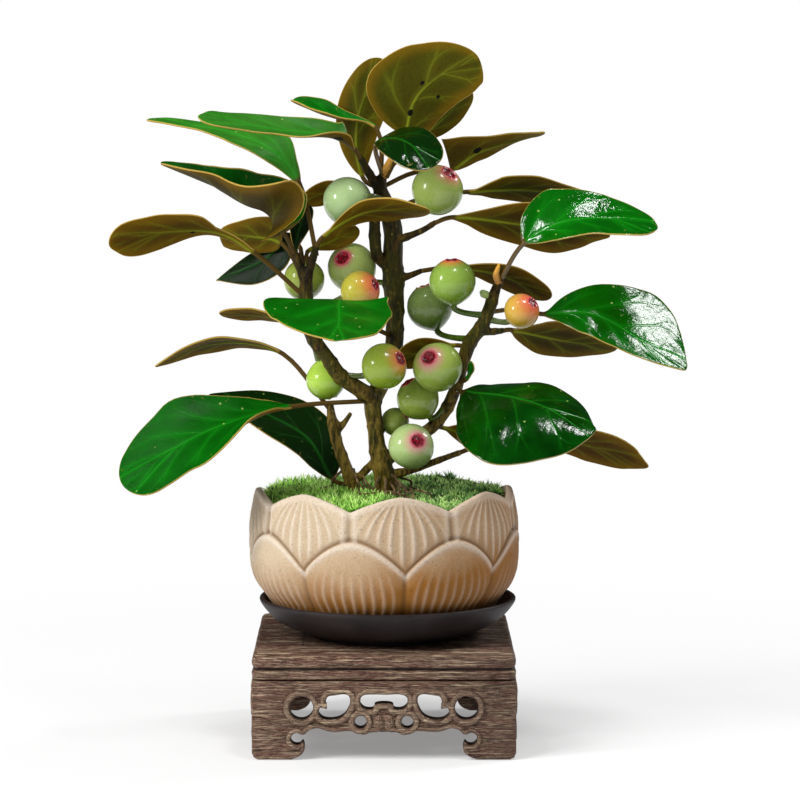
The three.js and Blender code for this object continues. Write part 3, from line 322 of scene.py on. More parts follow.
def spline(points, per_span, closed=False):
    """Points along a smooth curve through the given ones. Each span is a cubic whose end slopes
    follow from its neighbours, weighted by the square roots of their distances."""
    p = np.asarray(points, float)
    if closed:
        p = np.concatenate([p[-1:], p, p[:2]])
    else:
        p = np.concatenate([2 * p[:1] - p[1:2], p, 2 * p[-1:] - p[-2:-1]])
    x0, x1, x2, x3 = p[:-3], p[1:-2], p[2:-1], p[3:]
    gap = np.maximum(np.linalg.norm(np.diff(p, axis=0), axis=1), 1e-6)[:, None] ** 0.5
    d0, d1, d2 = gap[:-2], gap[1:-1], gap[2:]
    t1 = ((x1 - x0) / d0 - (x2 - x0) / (d0 + d1) + (x2 - x1) / d1) * d1
    t2 = ((x2 - x1) / d1 - (x3 - x1) / (d1 + d2) + (x3 - x2) / d2) * d1
    w = np.linspace(0, 1, per_span, endpoint=False)[None, :, None]
    c0, c1 = x1[:, None], t1[:, None]
    c2, c3 = (3 * (x2 - x1) - 2 * t1 - t2)[:, None], (2 * (x1 - x2) + t1 + t2)[:, None]
    curve = (c0 + c1 * w + c2 * w ** 2 + c3 * w ** 3).reshape(-1, p.shape[1])
    return curve if closed else np.concatenate([curve, p[-2:-1]])


def tapered(points, per_span):
    """A smooth path through points, and its radius, which runs evenly between theirs."""
    points = np.asarray(points, float)
    path = spline(points[:, :3], per_span)
    return path, np.interp(np.arange(len(path)), np.arange(len(points)) * per_span, points[:, 3])


def lengths(path):
    """The distance along a path at each of its points."""
    return np.concatenate([[0], np.cumsum(np.linalg.norm(np.diff(path, axis=0), axis=1))])


def sampled(values, knots, at):
    """Each column of values, known at the knots, read off at other places."""
    return np.stack([np.interp(at, knots, column) for column in np.asarray(values, float).T], -1)


def grid_faces(rows, sides, looped=False):
    """The quads between rings of points that are numbered ring by ring. Where they are looped,
    the last ring joins the first."""
    row = np.arange(rows if looped else rows - 1)[:, None] * sides
    here = np.arange(sides)
    after, beyond = (here + 1) % sides, (row + sides) % (rows * sides)
    return np.stack([row + here, row + after, beyond + after, beyond + here], -1).reshape(-1, 4)


def skin(rings):
    """A skin over rows of rings, closed at both ends by a fan round the middle of the ring."""
    count, sides = rings.shape[:2]
    points = np.concatenate([rings.reshape(-1, 3), rings[[0, -1]].mean(1)])
    here = np.arange(sides)
    after = (here + 1) % sides
    far, start = (count - 1) * sides, count * sides
    return points, [grid_faces(count, sides), triples(start, after, here),
                    triples(start + 1, far + here, far + after)]


def joined(parts):
    """Several skins as one list of points and faces."""
    points, faces, count = [], [], 0
    for part_points, part_faces in parts:
        points.append(part_points)
        faces.extend(group + count for group in part_faces)
        count += len(part_points)
    return np.concatenate(points), faces


def tube_rings(path, radius, sides, ahead=None):
    """Rings round a path: at each point, the radius times cosine and sine along two directions
    square to the path, which turn as little as possible from ring to ring."""
    if ahead is None:
        ahead = unit(np.gradient(path, axis=0))
    across = np.zeros_like(path)
    last = np.array([1.0, 0.02, 0.01])
    for k, way in enumerate(ahead):
        last = last - way * (last @ way)
        if np.linalg.norm(last) < 0.05:
            last = np.cross(way, [0, 1, 0])
        last = last / np.linalg.norm(last)
        across[k] = last
    up = np.cross(ahead, across)
    angle = circle(sides)[:, None]
    radius = np.asarray(radius, float)
    radius = np.broadcast_to(radius[:, None] if radius.ndim == 1 else radius, (len(path), sides))
    return path[:, None] + radius[..., None] * (
        across[:, None] * np.cos(angle) + up[:, None] * np.sin(angle))


def around(radius, angle, height):
    """Points round the axis. Angles are degrees from the front, which faces -Y, towards +X."""
    turn = np.radians(angle)
    return triples(radius * np.sin(turn), -radius * np.cos(turn), height)


def linked(name, data):
    """A new object in the scene."""
    piece = bpy.data.objects.new(name, data)
    bpy.context.scene.collection.objects.link(piece)
    return piece


def surface(name, points, faces, finishes, finish_of=None, fields=None):
    """Puts points in mm and faces into a new object's mesh, with its fields and finishes."""
    mesh = bpy.data.meshes.new(name)
    place = np.asarray(points, float) * MM + AXIS
    corners = np.concatenate([group.ravel() for group in faces]).astype(np.int32)
    sizes = np.concatenate([np.full(len(group), group.shape[1]) for group in faces])
    starts = np.concatenate([[0], np.cumsum(sizes)[:-1]]).astype(np.int32)
    mesh.vertices.add(len(place))
    mesh.vertices.foreach_set("co", place.ravel().astype(np.float32))
    mesh.loops.add(len(corners))
    mesh.loops.foreach_set("vertex_index", corners)
    mesh.polygons.add(len(sizes))
    mesh.polygons.foreach_set("loop_start", starts)
    mesh.update(calc_edges=True)
    mesh.polygons.foreach_set("use_smooth", np.full(len(sizes), True))
    for finish in finishes:
        mesh.materials.append(bpy.data.materials[finish])
    if finish_of is not None:
        mesh.polygons.foreach_set("material_index", finish_of.astype(np.int32))
    for field, values in (fields or {}).items():
        add_field(mesh, field, values)
    return linked(name, mesh)


def add_field(mesh, field, values):
    """Keeps three numbers for each point of a mesh under a name that a finish can read."""
    attribute = mesh.attributes.new(field, "FLOAT_VECTOR", "POINT")
    attribute.data.foreach_set("vector", np.asarray(values, np.float32).ravel())


def points_of(mesh):
    """The points of a mesh, in metres."""
    place = np.zeros(len(mesh.vertices) * 3)
    mesh.vertices.foreach_get("co", place)
    return place.reshape(-1, 3)


def evaluated(piece):
    """A new mesh of an object as its settings and modifiers make it."""
    return bpy.data.meshes.new_from_object(
        piece.evaluated_get(bpy.context.evaluated_depsgraph_get()))


def place(piece, slot, *nodes):
    """Fixes a finished piece to the object and hides the nodes that it stands for."""
    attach(piece, "root")
    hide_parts(*nodes)


# Finishes

def feed(tree, socket, value):
    """Links a value to a socket, or sets the socket to a number or a colour."""
    if isinstance(value, Value):
        tree.links.new(value.socket, socket)
    elif isinstance(value, (int, float)):
        socket.default_value = value
    else:
        socket.default_value = (*tuple(value)[:3], 1) if socket.type == "RGBA" else tuple(value)


def add_node(tree, kind, inputs, output=0, **settings):
    """Adds a node with its settings and inputs, and gives one of its outputs."""
    node = tree.nodes.new(f"ShaderNode{kind}")
    for name, setting in settings.items():
        setattr(node, name, setting)
    for key, value in inputs.items():
        feed(tree, node.inputs[key], value)
    return Value(tree, node.outputs[output])


def maths(kind):
    """A method of Value for one kind of arithmetic."""
    def work_out(self, *others):
        return add_node(self.tree, "Math", dict(enumerate((self, *others))), operation=kind)
    return work_out


class Value:
    """What a node gives at each point of a surface. Arithmetic with it adds more nodes."""
    __add__, __sub__, __mul__, __truediv__, __abs__ = map(
        maths, ("ADD", "SUBTRACT", "MULTIPLY", "DIVIDE", "ABSOLUTE"))
    most, floor, square_root = map(maths, ("MAXIMUM", "FLOOR", "SQRT"))

    def __init__(self, tree, socket):
        self.tree = tree
        self.socket = socket

    def rise(self, low, high):
        """0 below low, 1 above high, and a smooth rise between them."""
        return add_node(self.tree, "MapRange", {0: self, 1: low, 2: high},
                        interpolation_type="SMOOTHSTEP")

    def fall(self, low, high):
        """1 below low, 0 above high, and a smooth fall between them."""
        return self.rise(low, high) * -1 + 1


class Finish:
    """A material in the making, with the patterns that its colours are mixed by."""

    def __init__(self, name):
        material = bpy.data.materials.new(name)
        material.use_nodes = True
        self.tree = material.node_tree
        self.shader = self.tree.nodes["Principled BSDF"]
        self.place = add_node(self.tree, "TexCoord", {}, "Object")

    def vector(self, field):
        """A field of the piece as it is, as a place or a colour."""
        return add_node(self.tree, "Attribute", {}, "Vector", attribute_name=field)

    def parts(self, vector):
        """The three numbers of a vector, or of a field of the piece."""
        vector = self.vector(vector) if isinstance(vector, str) else vector
        split = add_node(self.tree, "SeparateXYZ", {0: vector}).socket.node
        return [Value(self.tree, output) for output in split.outputs]

    def scaled(self, scale, where):
        """The place on the piece times a scale for each axis."""
        scale = scale if isinstance(scale, tuple) else (scale,) * 3
        return add_node(self.tree, "VectorMath", {0: where or self.place, 1: scale},
                        operation="MULTIPLY")

    def noise(self, scale, where=None, detail=3, rough=0.55):
        """Cloudy noise from 0 to 1, with about as many patches per metre as the scale says."""
        return add_node(self.tree, "TexNoise", {
            "Vector": self.scaled(scale, where), "Scale": 1, "Detail": detail,
            "Roughness": rough})

    def cells(self, scale, where=None):
        """The distance to the nearest of many scattered points, in cell widths."""
        return add_node(self.tree, "TexVoronoi", {"Vector": self.scaled(scale, where),
                                                  "Scale": 1}, "Distance")

    def coats(self, colour, *layers):
        """A colour under layers. Each is a share, which is 0 where the colour so far stays and
        1 where another covers it, and that other colour."""
        for share, cover in layers:
            colour = add_node(self.tree, "Mix", {0: share, 6: colour, 7: cover}, 2,
                              data_type="RGBA")
        return colour

    def done(self, colour, roughness, height=None, depth=1.0, **sockets):
        """Sets the shader. Height is a value that stands up by the depth in millimetres."""
        sockets.update(Base_Color=colour, Roughness=roughness)
        if height is not None:
            sockets["Normal"] = add_node(self.tree, "Bump", {"Distance": depth * MM,
                                                             "Height": height})
        for name, value in sockets.items():
            feed(self.tree, self.shader.inputs[name.replace("_", " ")], value)


def vein_pattern(finish):
    """How near a point is to a vein, from 0 to 1: the midrib, then the side veins, which lie
    where the phase is a whole number and fork half way out to the margin, then the paler blade
    round both."""
    phase, spacing, midrib = finish.parts("veins")
    across, reach, blade = finish.parts("blade")
    line = abs(phase - phase.floor() - 0.5) * -1 + 0.5
    fork = (abs(across) - 0.5).most(0) * 0.55
    side = abs(line - fork) * spacing
    fade = abs(across).fall(0.4, 1.0) * reach.rise(0.02, 0.1)
    side_vein = side.fall(0.1, 1.0) * fade
    middle = abs(midrib) / (reach * -0.55 + 0.8)
    middle_vein = middle.fall(0.2, 1.4)
    glow = (side.fall(0.3, 4.5) * fade).most(middle.fall(1, 5))
    return middle_vein * blade, side_vein * blade, glow * blade


def leaf_finishes(look):
    """Upper side: deep glossy or matt green with pale veins and dots, with painted light on the
    brightest leaves and painted shade on the darkest. Underside: olive brown with a green midrib,
    dark flecks and dark glands, with painted shade on the dimmer leaves. All have a cream margin
    and turn into the brown stalk."""
    for name, shine, least_rough in (("leaf_glossy", 0.6, 0.06), ("leaf_matt", 0.14, 0.36),
                                     ("leaf_under", 0.08, None)):
        finish = Finish(name)
        _, reach, blade = finish.parts("blade")
        sheet = finish.vector("sheet")
        brown, bright, edge = finish.parts("tone")
        middle_vein, side_vein, glow = vein_pattern(finish)
        cloud = finish.noise(0.09, sheet, 3)
        fine = finish.noise(0.8, sheet, 4, 0.65)
        if least_rough:
            # each leaf's brightness stands partly for its own green and partly for painted light
            # and shade
            lit = (cloud - 0.5) * 0.6 + bright * (glow * 0.4 + 0.8) + (fine - 0.5) * 0.12
            dot = finish.cells(0.19, sheet).fall(0.055, 0.1)
            patch = finish.noise(0.16, sheet, 1).rise(0.34, 0.4)
            wear = finish.noise(0.35, sheet, 5, 0.7).rise(0.62, 0.72) * edge.fall(0.5, 4)
            colour = finish.coats(
                look.upper_dark,
                (lit, look.upper_bright),
                # painted light: leaves brighter than 0.7 pale towards the light green
                ((bright - 0.7).most(0) * (cloud * 1.4 + 0.3), look.upper_light),
                (side_vein * 0.12, look.upper_vein),
                (middle_vein * 0.3, look.upper_vein),
                (dot * patch * 0.6, look.dot),
                # painted shade: leaves below 0 in brightness darken towards the glands' near-black
                ((bright * -2).most(0), look.gland),
                (wear * 0.5, look.margin))
            roughness = cloud * 0.08 + least_rough
            height = (side_vein * -0.25 + middle_vein * -0.3 + cloud * 1.1
                      + finish.noise(0.3, sheet, 4, 0.65) * 0.7)
        else:
            rib = middle_vein * reach.fall(0.1, 0.8)
            colour = finish.coats(
                look.under_green,
                (brown + (cloud - 0.5) * 0.9, look.under_brown),
                (fine.rise(0.45, 0.75) * 0.45, look.under_dark),
                # painted shade: leaves below 0.5 in brightness darken towards the dark flecks'
                # colour
                ((bright * -2 + 1).most(0) * 0.75, look.under_dark),
                (edge.fall(0, 6) * 0.4, look.under_gold),
                (side_vein * 0.16 + glow * 0.08, look.under_vein),
                (rib * 0.6 + middle_vein * 0.12, look.under_vein))
            here_x, here_y, _ = finish.parts(sheet)
            ragged = (finish.noise(1.5, sheet, 2) - 0.5) * 0.9
            for gland in GLAND_FIELDS:
                x, y, radius = finish.parts(gland)
                x, y = here_x - x, here_y - y
                far = (x * x + y * y * 0.45).square_root() + ragged
                colour = finish.coats(colour, ((far / radius).fall(0.75, 1.05), look.gland))
            roughness = fine * 0.2 + 0.5
            height = side_vein * 0.4 + middle_vein * 0.5 + cloud * 0.5 + fine * 0.3
        colour = finish.coats(colour, (edge.fall(0.12, 0.42) * 0.75, look.margin))
        stripes = finish.noise((0.9, 0.9, 0.12), sheet, 3)
        stalk = finish.coats(look.stalk_dark, (stripes, look.stalk))
        colour = finish.coats(stalk, (blade.rise(0.05, 0.9), colour))
        finish.done(colour, roughness, height, 0.25, Specular_IOR_Level=shine)


def fig_finish(look):
    """Skin that deepens away from the light and pales towards it, partly its own colour and
    partly painted shade and painted light, with fine pale specks, a blush round the eye and a
    dark red rough eye."""
    finish = Finish("fig_skin")
    bare = finish.vector("skin")
    eye, spread, sun_and_light = finish.parts("ripeness")
    cloud = finish.noise(140, detail=2)
    fine = finish.noise(900, detail=3, rough=0.7)
    speck = finish.cells(820).fall(0.12, 0.3)
    edge = eye + (cloud - 0.5) * 0.12
    disc = (eye + (fine - 0.5) * 0.1).fall(0.24, 0.31)
    scales = finish.noise(1100, detail=2).rise(0.42, 0.62)
    colour = finish.coats(
        # partly painted shade and light, partly the skin's own colour: it deepens all over, then
        # pales again towards the light
        finish.coats(bare, (0.6, look.deep)),
        (sun_and_light.rise(0, 0.8) + (cloud - 0.5) * 0.2, finish.coats(bare, (0.15, look.pale))),
        (speck * 0.12, look.pale),
        ((edge / (spread + 0.2)).fall(0.4, 1.05) * 0.85, finish.vector("blush")),
        (edge.fall(0.29, 0.4) * 0.8, look.ring),
        (disc, finish.coats(look.eye_dark, (scales, look.eye))))
    finish.done(colour, fine * 0.15 + 0.2, speck * 0.15 + cloud * 0.5 + disc * fine * 3, 0.12,
                Coat_Weight=0.5, Coat_Roughness=0.06, Specular_IOR_Level=0.3,
                Subsurface_Weight=0.1, Subsurface_Radius=(0.003, 0.004, 0.001))


def bark_finishes(look):
    """Bark: brown with olive patches, pale streaks along the stem and pale pores. Bud: yellow
    to orange scales. Root: thin and pale brown."""
    finish = Finish("bark_rough")
    thick, high, _ = finish.parts("wood")
    streaks = finish.noise((460, 460, 70), detail=4, rough=0.65)
    cracks = finish.noise((700, 700, 260), detail=5, rough=0.7)
    pore = finish.cells((260, 260, 200)).fall(0.08, 0.16)
    colour = finish.coats(
        look.bark_dark,
        (streaks.rise(0.4, 0.6), look.bark),
        ((finish.noise(120) + thick * 0.22).rise(0.5, 0.7) * 0.8, look.bark_green),
        (high.fall(0, 0.5) * streaks.rise(0.35, 0.6) * 0.75, look.bark_pale),
        (cracks.fall(0.4, 0.5) * 0.55, look.bark_dark),
        (cracks.rise(0.57, 0.68) * 0.6, look.bark_pale),
        (pore * 0.7, look.bark_pale),
        (high.rise(0.4, 1) * 0.5, look.bark_dark))
    finish.done(colour, cracks * 0.4 + 0.35, streaks * 0.8 + cracks * 1.2 + pore * 0.5, 0.7,
                Specular_IOR_Level=0.2)
    finish = Finish("bud")
    tip, green, _ = finish.parts("wood")
    fine = finish.noise((1500, 1500, 300))
    colour = finish.coats(look.bud_base, (tip + (fine - 0.5) * 0.5, look.bud_tip),
                          (green, look.bud_green))
    finish.done(colour, fine * 0.2 + 0.3, fine, 0.2)
    finish = Finish("root")
    streaks = finish.noise((700, 700, 500), detail=4)
    colour = finish.coats(look.root_dark, (streaks.rise(0.3, 0.7), look.root))
    finish.done(colour, streaks * 0.2 + 0.6, streaks, 0.2)


def pot_finish(look):
    """Sandy stoneware: pale where its relief stands up and warmer low down, with painted shade in
    the hollows and painted shade towards the right, away from the light, which makes it warmer
    there and darker low down, and with fine dark and light grains."""
    finish = Finish("stoneware")
    crest, hollow_shade, low = finish.parts("relief")
    cloud = finish.noise(45, detail=4, rough=0.6)
    sand = finish.noise(1500, detail=3, rough=0.75)
    grain = finish.cells(620).fall(0.1, 0.2) * finish.noise(260, detail=1).rise(0.45, 0.6)
    right, _, _ = finish.parts(finish.place)
    colour = finish.coats(
        look.stoneware,
        # warmer low down; the rise towards the right is painted shade
        (low * 1.2 + (cloud - 0.5) * 0.7 + right * 10 + 0.2, look.stoneware_warm),
        # painted shade in the hollows
        (hollow_shade * 0.75, look.stoneware_dark),
        (crest * 0.65, look.stoneware_pale),
        ((sand - 0.5) * 0.9 + 0.12, look.stoneware_dark),
        (grain * 0.6, look.grain),
        # painted shade: darker low at the right, away from the light
        ((low * right * 16).most(0) * 0.7, look.stoneware_dark))
    finish.done(colour, sand * 0.25 + 0.55, sand * 0.9 + grain * -0.6 + cloud * 0.6, 0.22,
                Specular_IOR_Level=0.35)


def saucer_finish(look):
    """Dark matt clay with faint turning lines and dusty scuffs."""
    finish = Finish("clay_matt")
    cloud = finish.noise(40, detail=4)
    lines = finish.noise((60, 60, 1400), detail=2)
    fine = finish.noise(1700, detail=3, rough=0.7)
    scuff = finish.noise((220, 220, 900), detail=5, rough=0.7).rise(0.62, 0.78)
    colour = finish.coats(look.clay_dark, (cloud.rise(0.3, 0.75), look.clay),
                          (scuff * 0.35, look.clay_dust))
    finish.done(colour, cloud * 0.2 + 0.45, lines * 0.5 + fine * 0.35, 0.18,
                Specular_IOR_Level=0.25)


def wood_finish(look, name, scale, joint=None):
    """Worn open-grained wood: long fibres in two browns, dark pores, pale dusty streaks, thin
    light and dark hairlines and a reddish cast in patches. The scale is small along the grain.
    Carved parts have painted shade inside their holes, behind their mouldings and in the board's
    groove, and are paler on their crests, partly from wear and partly as a painted highlight.
    Painted shade also darkens the wood towards the right. A joint is two fine lines, the wood
    behind the second a little darker."""
    finish = Finish(name)

    def grain(finer, detail, rough):
        return finish.noise(tuple(s * finer for s in scale), detail=detail, rough=rough)

    cloud, wave = grain(0.22, 3, 0.55), grain(0.6, 4, 0.62)
    fibre, thread, hair = grain(1, 5, 0.68), grain(1.5, 2, 0.6), grain(2.6, 3, 0.7)
    pore = hair.fall(0.34, 0.45)
    shade, worn, _ = finish.parts("carving")
    x, y, _ = finish.parts(finish.place)
    colour = finish.coats(
        look.wood_dark,
        (fibre.rise(0.38, 0.6), look.wood),
        (cloud.rise(0.4, 0.62) * 0.8, look.wood_red),
        (hair.rise(0.53, 0.68) * 0.6, look.wood_pale),
        (wave.rise(0.54, 0.64) * 0.8, look.wood_pale),
        (pore * 0.85, look.wood_pore_and_shade),
        (abs(thread - 0.56).fall(0, 0.03) * 0.55, look.wood_pale),
        (abs(thread - 0.43).fall(0, 0.035) * 0.7, look.wood_pore_and_shade),
        # paler crests: partly wear, partly painted highlight
        (worn * fibre.rise(0.35, 0.6) * 0.25, look.wood_pale),
        # painted shade inside the holes, behind the mouldings and in the board's groove
        (shade * 0.85, look.wood_pore_and_shade),
        # painted shade: darker towards the right, away from the light
        ((x * 8).most(0), look.wood_dark))
    if joint is not None:
        beside, beyond = x - joint[0], y - joint[1]
        line = (abs(beside).fall(0.0001, 0.0003) * beyond.rise(-0.0002, 0)
                + abs(beyond).fall(0.0002, 0.0006) * beside.rise(-0.0002, 0))
        line = line * 0.8 + beyond.rise(-0.0005, 0.0005) * 0.3
        colour = finish.coats(colour, (line, look.wood_pore_and_shade))
    finish.done(colour, fibre * 0.3 + 0.42, fibre * 0.9 + hair * 0.5 + pore * -0.8, 0.5,
                Specular_IOR_Level=0.35)


def ground_finishes(look):
    """Moss leaflets from a dark base, partly painted shade, to a light tip, partly painted
    highlight; the dark cushion under them, partly painted shade; and the soil.
    """
    for name, base, tip in (("moss_bright", look.moss_shade, look.moss_bright),
                            ("moss_dark", look.moss_deep, look.moss_dull)):
        finish = Finish(name)
        reach, tone, _ = finish.parts("leaflet")
        cloud = finish.noise(90, detail=2)
        tuft = finish.noise(330, detail=1).rise(0.3, 0.54)
        # dark foot to light tip: partly the moss's own colour, partly painted shade and highlight
        lit = reach * 1.2 + (tone - 0.5) * 0.9 + (cloud - 0.5) * 0.4
        light = reach.rise(0.3, 0.9) * tone.rise(0.05, 0.7) * tuft
        colour = finish.coats(base, (lit * (tuft * 0.75 + 0.25), tip), (light, look.moss_tip))
        finish.done(colour, cloud * 0.2 + 0.5, finish.noise(2500), 0.1)
    finish = Finish("moss_cushion")
    fine = finish.noise(700, detail=4, rough=0.7)
    colour = finish.coats(look.moss_ground, (fine.rise(0.35, 0.7), look.moss_shade))
    finish.done(colour, fine * 0.2 + 0.75, fine, 1.2)
    finish = Finish("soil_crumbs")
    crumb = finish.noise(500, detail=5, rough=0.7)
    stone = finish.cells(420).fall(0.1, 0.3)
    colour = finish.coats(look.soil_dark, (crumb.rise(0.3, 0.7), look.soil),
                          (stone * 0.4, look.soil_pale))
    finish.done(colour, crumb * 0.2 + 0.75, crumb + stone * 0.6, 1.5)


# Leaves

LEAF_SPAN = 40  # points of a leaf's path between two of its table's
ACROSS = np.array([0.03, 0.07, 0.13, 0.21, 0.31, 0.42, 0.53, 0.64, 0.74, 0.83, 0.9, 0.95, 0.98,
                   0.995, 1.0])
WIDTHS_AT = np.array([0.03, 0.1, 0.22, 0.34, 0.46, 0.58, 0.7, 0.82, 0.91, 0.97])
GLAND_FIELDS = ("gland_1", "gland_2", "gland_3")
NO_GLAND = (0, -9, 1)


def blade_width(reach, widths):
    """The half-width of an oval over the blade, times a smooth curve that makes it meet the
    widths given at ten places."""
    share = np.array(widths) / np.sqrt(4 * WIDTHS_AT * (1 - WIDTHS_AT))
    curve = spline(np.column_stack([WIDTHS_AT, share]), 8)
    return np.sqrt(np.maximum(4 * reach * (1 - reach), 0)) * np.interp(reach, *curve.T)


def leaf_surface(number, thickness, stalk_radius, points, widths, faces, rises, brown, bright,
                 small=False, start=1, glands=()):
    """A stalk and blade in one skin. Along the midrib, each ring runs over the upper side from
    the left margin to the right one and back below. The stalk's circle turns into the blade's
    flat lens, whose rim is half a circle, and the halves rise from the midrib with the square
    of the distance across. The blade quilts softly between its side veins."""
    stalk_rings, blade_rings = (5, 26) if small else (8, 50)
    across = ACROSS[::2] if small else ACROSS
    across = np.concatenate([-across[::-1], [0], across])
    out = np.abs(across)

    def both(sides):
        """The first column left of the midrib and the last one right of it."""
        return np.where(across < 0, sides[:, :1], sides[:, -1:])

    path = spline(points, LEAF_SPAN)
    run = lengths(path)
    stalk_length = run[LEAF_SPAN * start]
    length = run[-1] - stalk_length
    reach = (1 - np.cos(np.linspace(0, math.pi, blade_rings + 1)[1:])) / 2
    at = np.concatenate([np.linspace(0, stalk_length, stalk_rings),
                         mix(stalk_length, run[-1], reach)])
    reach = np.concatenate([np.zeros(stalk_rings), reach])
    ahead = unit(sampled(np.gradient(path, axis=0), run, at))
    face = sampled(unit(np.array(faces, float)), np.linspace(0, 1, len(faces)), reach)
    face = unit(face - ahead * (face * ahead).sum(-1, keepdims=True))
    side = np.cross(ahead, face)[:, None]
    face = face[:, None]
    rises = np.atleast_2d(np.array(rises, float)).T
    rise = both(sampled(rises, np.linspace(0, 1, len(rises)), reach))

    reach = reach[:, None]
    stalk = 1 - smooth(0, 0.13, reach)
    blade = 1 - stalk
    half = np.concatenate([blade_width(reach, width) for width in widths], 1)
    half = both(np.maximum(half, np.where(reach < 0.5, stalk_radius, 0.1)))
    x = half * across
    edge = half * (1 - out)
    rim = np.sqrt(1 - (1 - np.clip(edge / 0.45, 0, 1)) ** 2)
    tipped = np.clip((1 - reach) * length / 0.5, 0.2, 1)
    half_sheet = mix(thickness / 2 * rim * tipped, stalk_radius * np.sqrt(1 - across ** 2), stalk)
    slope = np.arctan(2 * rise * across * blade)[..., None]
    veins = max(3.0, round(length / 16))
    phase = veins * (reach - 0.34 * out ** 0.85) + (across > 0) * 0.5
    shift = np.random.default_rng(number).uniform(0, 6.28, 2)
    wave = (0.45 * across ** 2 * np.sin(7.5 * reach + shift[0] + across)
            + 0.25 * out ** 3 * np.sin(19 * reach + shift[1] * across))
    quilt = np.cos(TURN * phase) * out * (1 - out) * 0.9
    relief = blade * (wave * np.minimum(half / 9, 1) - quilt * np.minimum(half / 12, 1) * 0.5)
    middle = (sampled(path, run, at)[:, None] + side * x[..., None]
              + face * (rise * half * across ** 2 * blade + relief)[..., None])
    normal = face * np.cos(slope) - side * np.sin(slope)
    fade = blade * (1 - 0.75 * reach)
    upper = middle + normal * (half_sheet - 0.16 * hump(x, 0.55) * fade)[..., None]
    under = middle - normal * (half_sheet + 0.42 * hump(x, 0.6) * fade)[..., None]

    def field(*values):
        """Three values for the upper side, then the underside, then the two ends."""
        grid = np.broadcast_to(triples(*values), (*half.shape, 3))
        rings = np.concatenate([grid, grid[:, -2:0:-1]], 1)
        return np.concatenate([rings.reshape(-1, 3), rings[[0, -1]].mean(1)])

    fork = x if small else np.abs(x) - np.maximum(reach - 0.66, 0) * length * 0.2
    fields = {"blade": field(across, reach, smooth(0.005, 0.05, reach)),
              "sheet": field(x, reach * length, number * 37.0),
              "veins": field(phase, length / veins, fork),
              "tone": field(brown, bright, edge)}
    fields["tone"][-2:, 2] = stalk_radius, 0
    for name, (aside, along, radius) in zip(GLAND_FIELDS, (*glands, *[NO_GLAND] * 3)):
        fields[name] = field(np.max(widths) * aside, along * length, radius)
    points, groups = skin(np.concatenate([upper, under[:, -2:0:-1]], 1))
    sides = 2 * len(across) - 2
    is_under = np.arange(len(groups[0])) % sides >= len(across) - 1
    return points, groups, np.concatenate([is_under, np.ones(2 * sides)]), fields


def make_leaves(look):
    leaf_finishes(look)
    for number, (name, (*row, more)) in enumerate(LEAVES.items()):
        points, faces, finish_of, fields = leaf_surface(
            number, look.thickness / MM, look.stalk_radius / MM, *row, **more)
        upper = "leaf_glossy" if name in GLOSSY else "leaf_matt"
        piece = surface(f"fig_leaf_{name}", points, faces, [upper, "leaf_under"], finish_of,
                        fields)
        place(piece, "leaf", f"leaf_{name}")


# Figs

# From the neck to the floor of the eye: the height and the width, in radii of the fig
FIG_PROFILE = [(-1.06, 0.13), (-1.0, 0.24), (-0.9, 0.43), (-0.6, 0.79), (-0.2, 0.98), (0.2, 0.98),
               (0.6, 0.8), (0.86, 0.5), (0.945, 0.34), (0.965, 0.27), (0.945, 0.22), (0.9, 0.15),
               (0.915, 0.08), (0.92, 0.03)]
# The way that the light falls from: the skin pales towards it and deepens away from it, partly its
# own colour and partly painted light and shade
SUN_AND_LIGHT = (-0.45, -0.35, 0.82)


def fig_surface(number, stalk_radius, middle, radius, root, eye):
    """A round body turned about its axis on a bent stalk. The body's profile is a smooth curve
    that ends in the lip and floor of the eye, whose scales stand up in five turns of a
    spiral."""
    centre, root = np.array(middle, float), np.array(root, float)
    axis = unit(np.array(eye, float))
    neck = centre - axis * 1.06 * radius
    bend = neck - axis * 0.35 * radius
    t = np.linspace(0, 1, 12)[:, None]
    stalk = (1 - t) ** 2 * root + 2 * t * (1 - t) * bend + t * t * neck
    stalk_ahead = unit(2 * (1 - t) * (bend - root) + 2 * t * (neck - bend))
    up, out = spline(FIG_PROFILE, 6).T
    path = np.concatenate([stalk[:-1], centre + axis * radius * up[:, None]])
    ahead = np.concatenate([stalk_ahead[:-1], np.repeat(axis[None], len(up), 0)])
    t = t[:-1, 0]
    flare = 1 + 0.35 * (1 - t) ** 4 + 0.25 * t ** 3
    width = np.concatenate([stalk_radius * flare, radius * out])[:, None]
    in_eye = smooth(0.93, 0.96, up) * (out < 0.33)
    swirl = np.concatenate([0 * t, in_eye])[:, None]
    angle = circle(36)
    lobes = 1 + 0.1 * swirl * np.cos(5 * angle + 9 * width / radius)
    oval = 1 + 0.012 * np.sin(2 * angle + number) + 0.008 * np.sin(3 * angle + 2 * number)
    rings = tube_rings(path, width * lobes * oval, len(angle), ahead)
    lift = swirl * 0.02 * radius * np.sin(5 * angle + 14 * (width / radius))
    points, faces = skin(rings + axis * lift[..., None])
    from_centre = points - centre
    # how far a point faces the light: partly its own paleness, partly painted light
    sun_and_light = np.clip(0.5 + unit(from_centre) @ unit(np.array(SUN_AND_LIGHT)) * 0.62, 0, 1)
    height = from_centre @ axis / radius
    off_axis = np.linalg.norm(from_centre - np.outer(height, axis) * radius, axis=1) / radius
    return points, faces, np.where(height > 0, off_axis, 1.2), sun_and_light, height


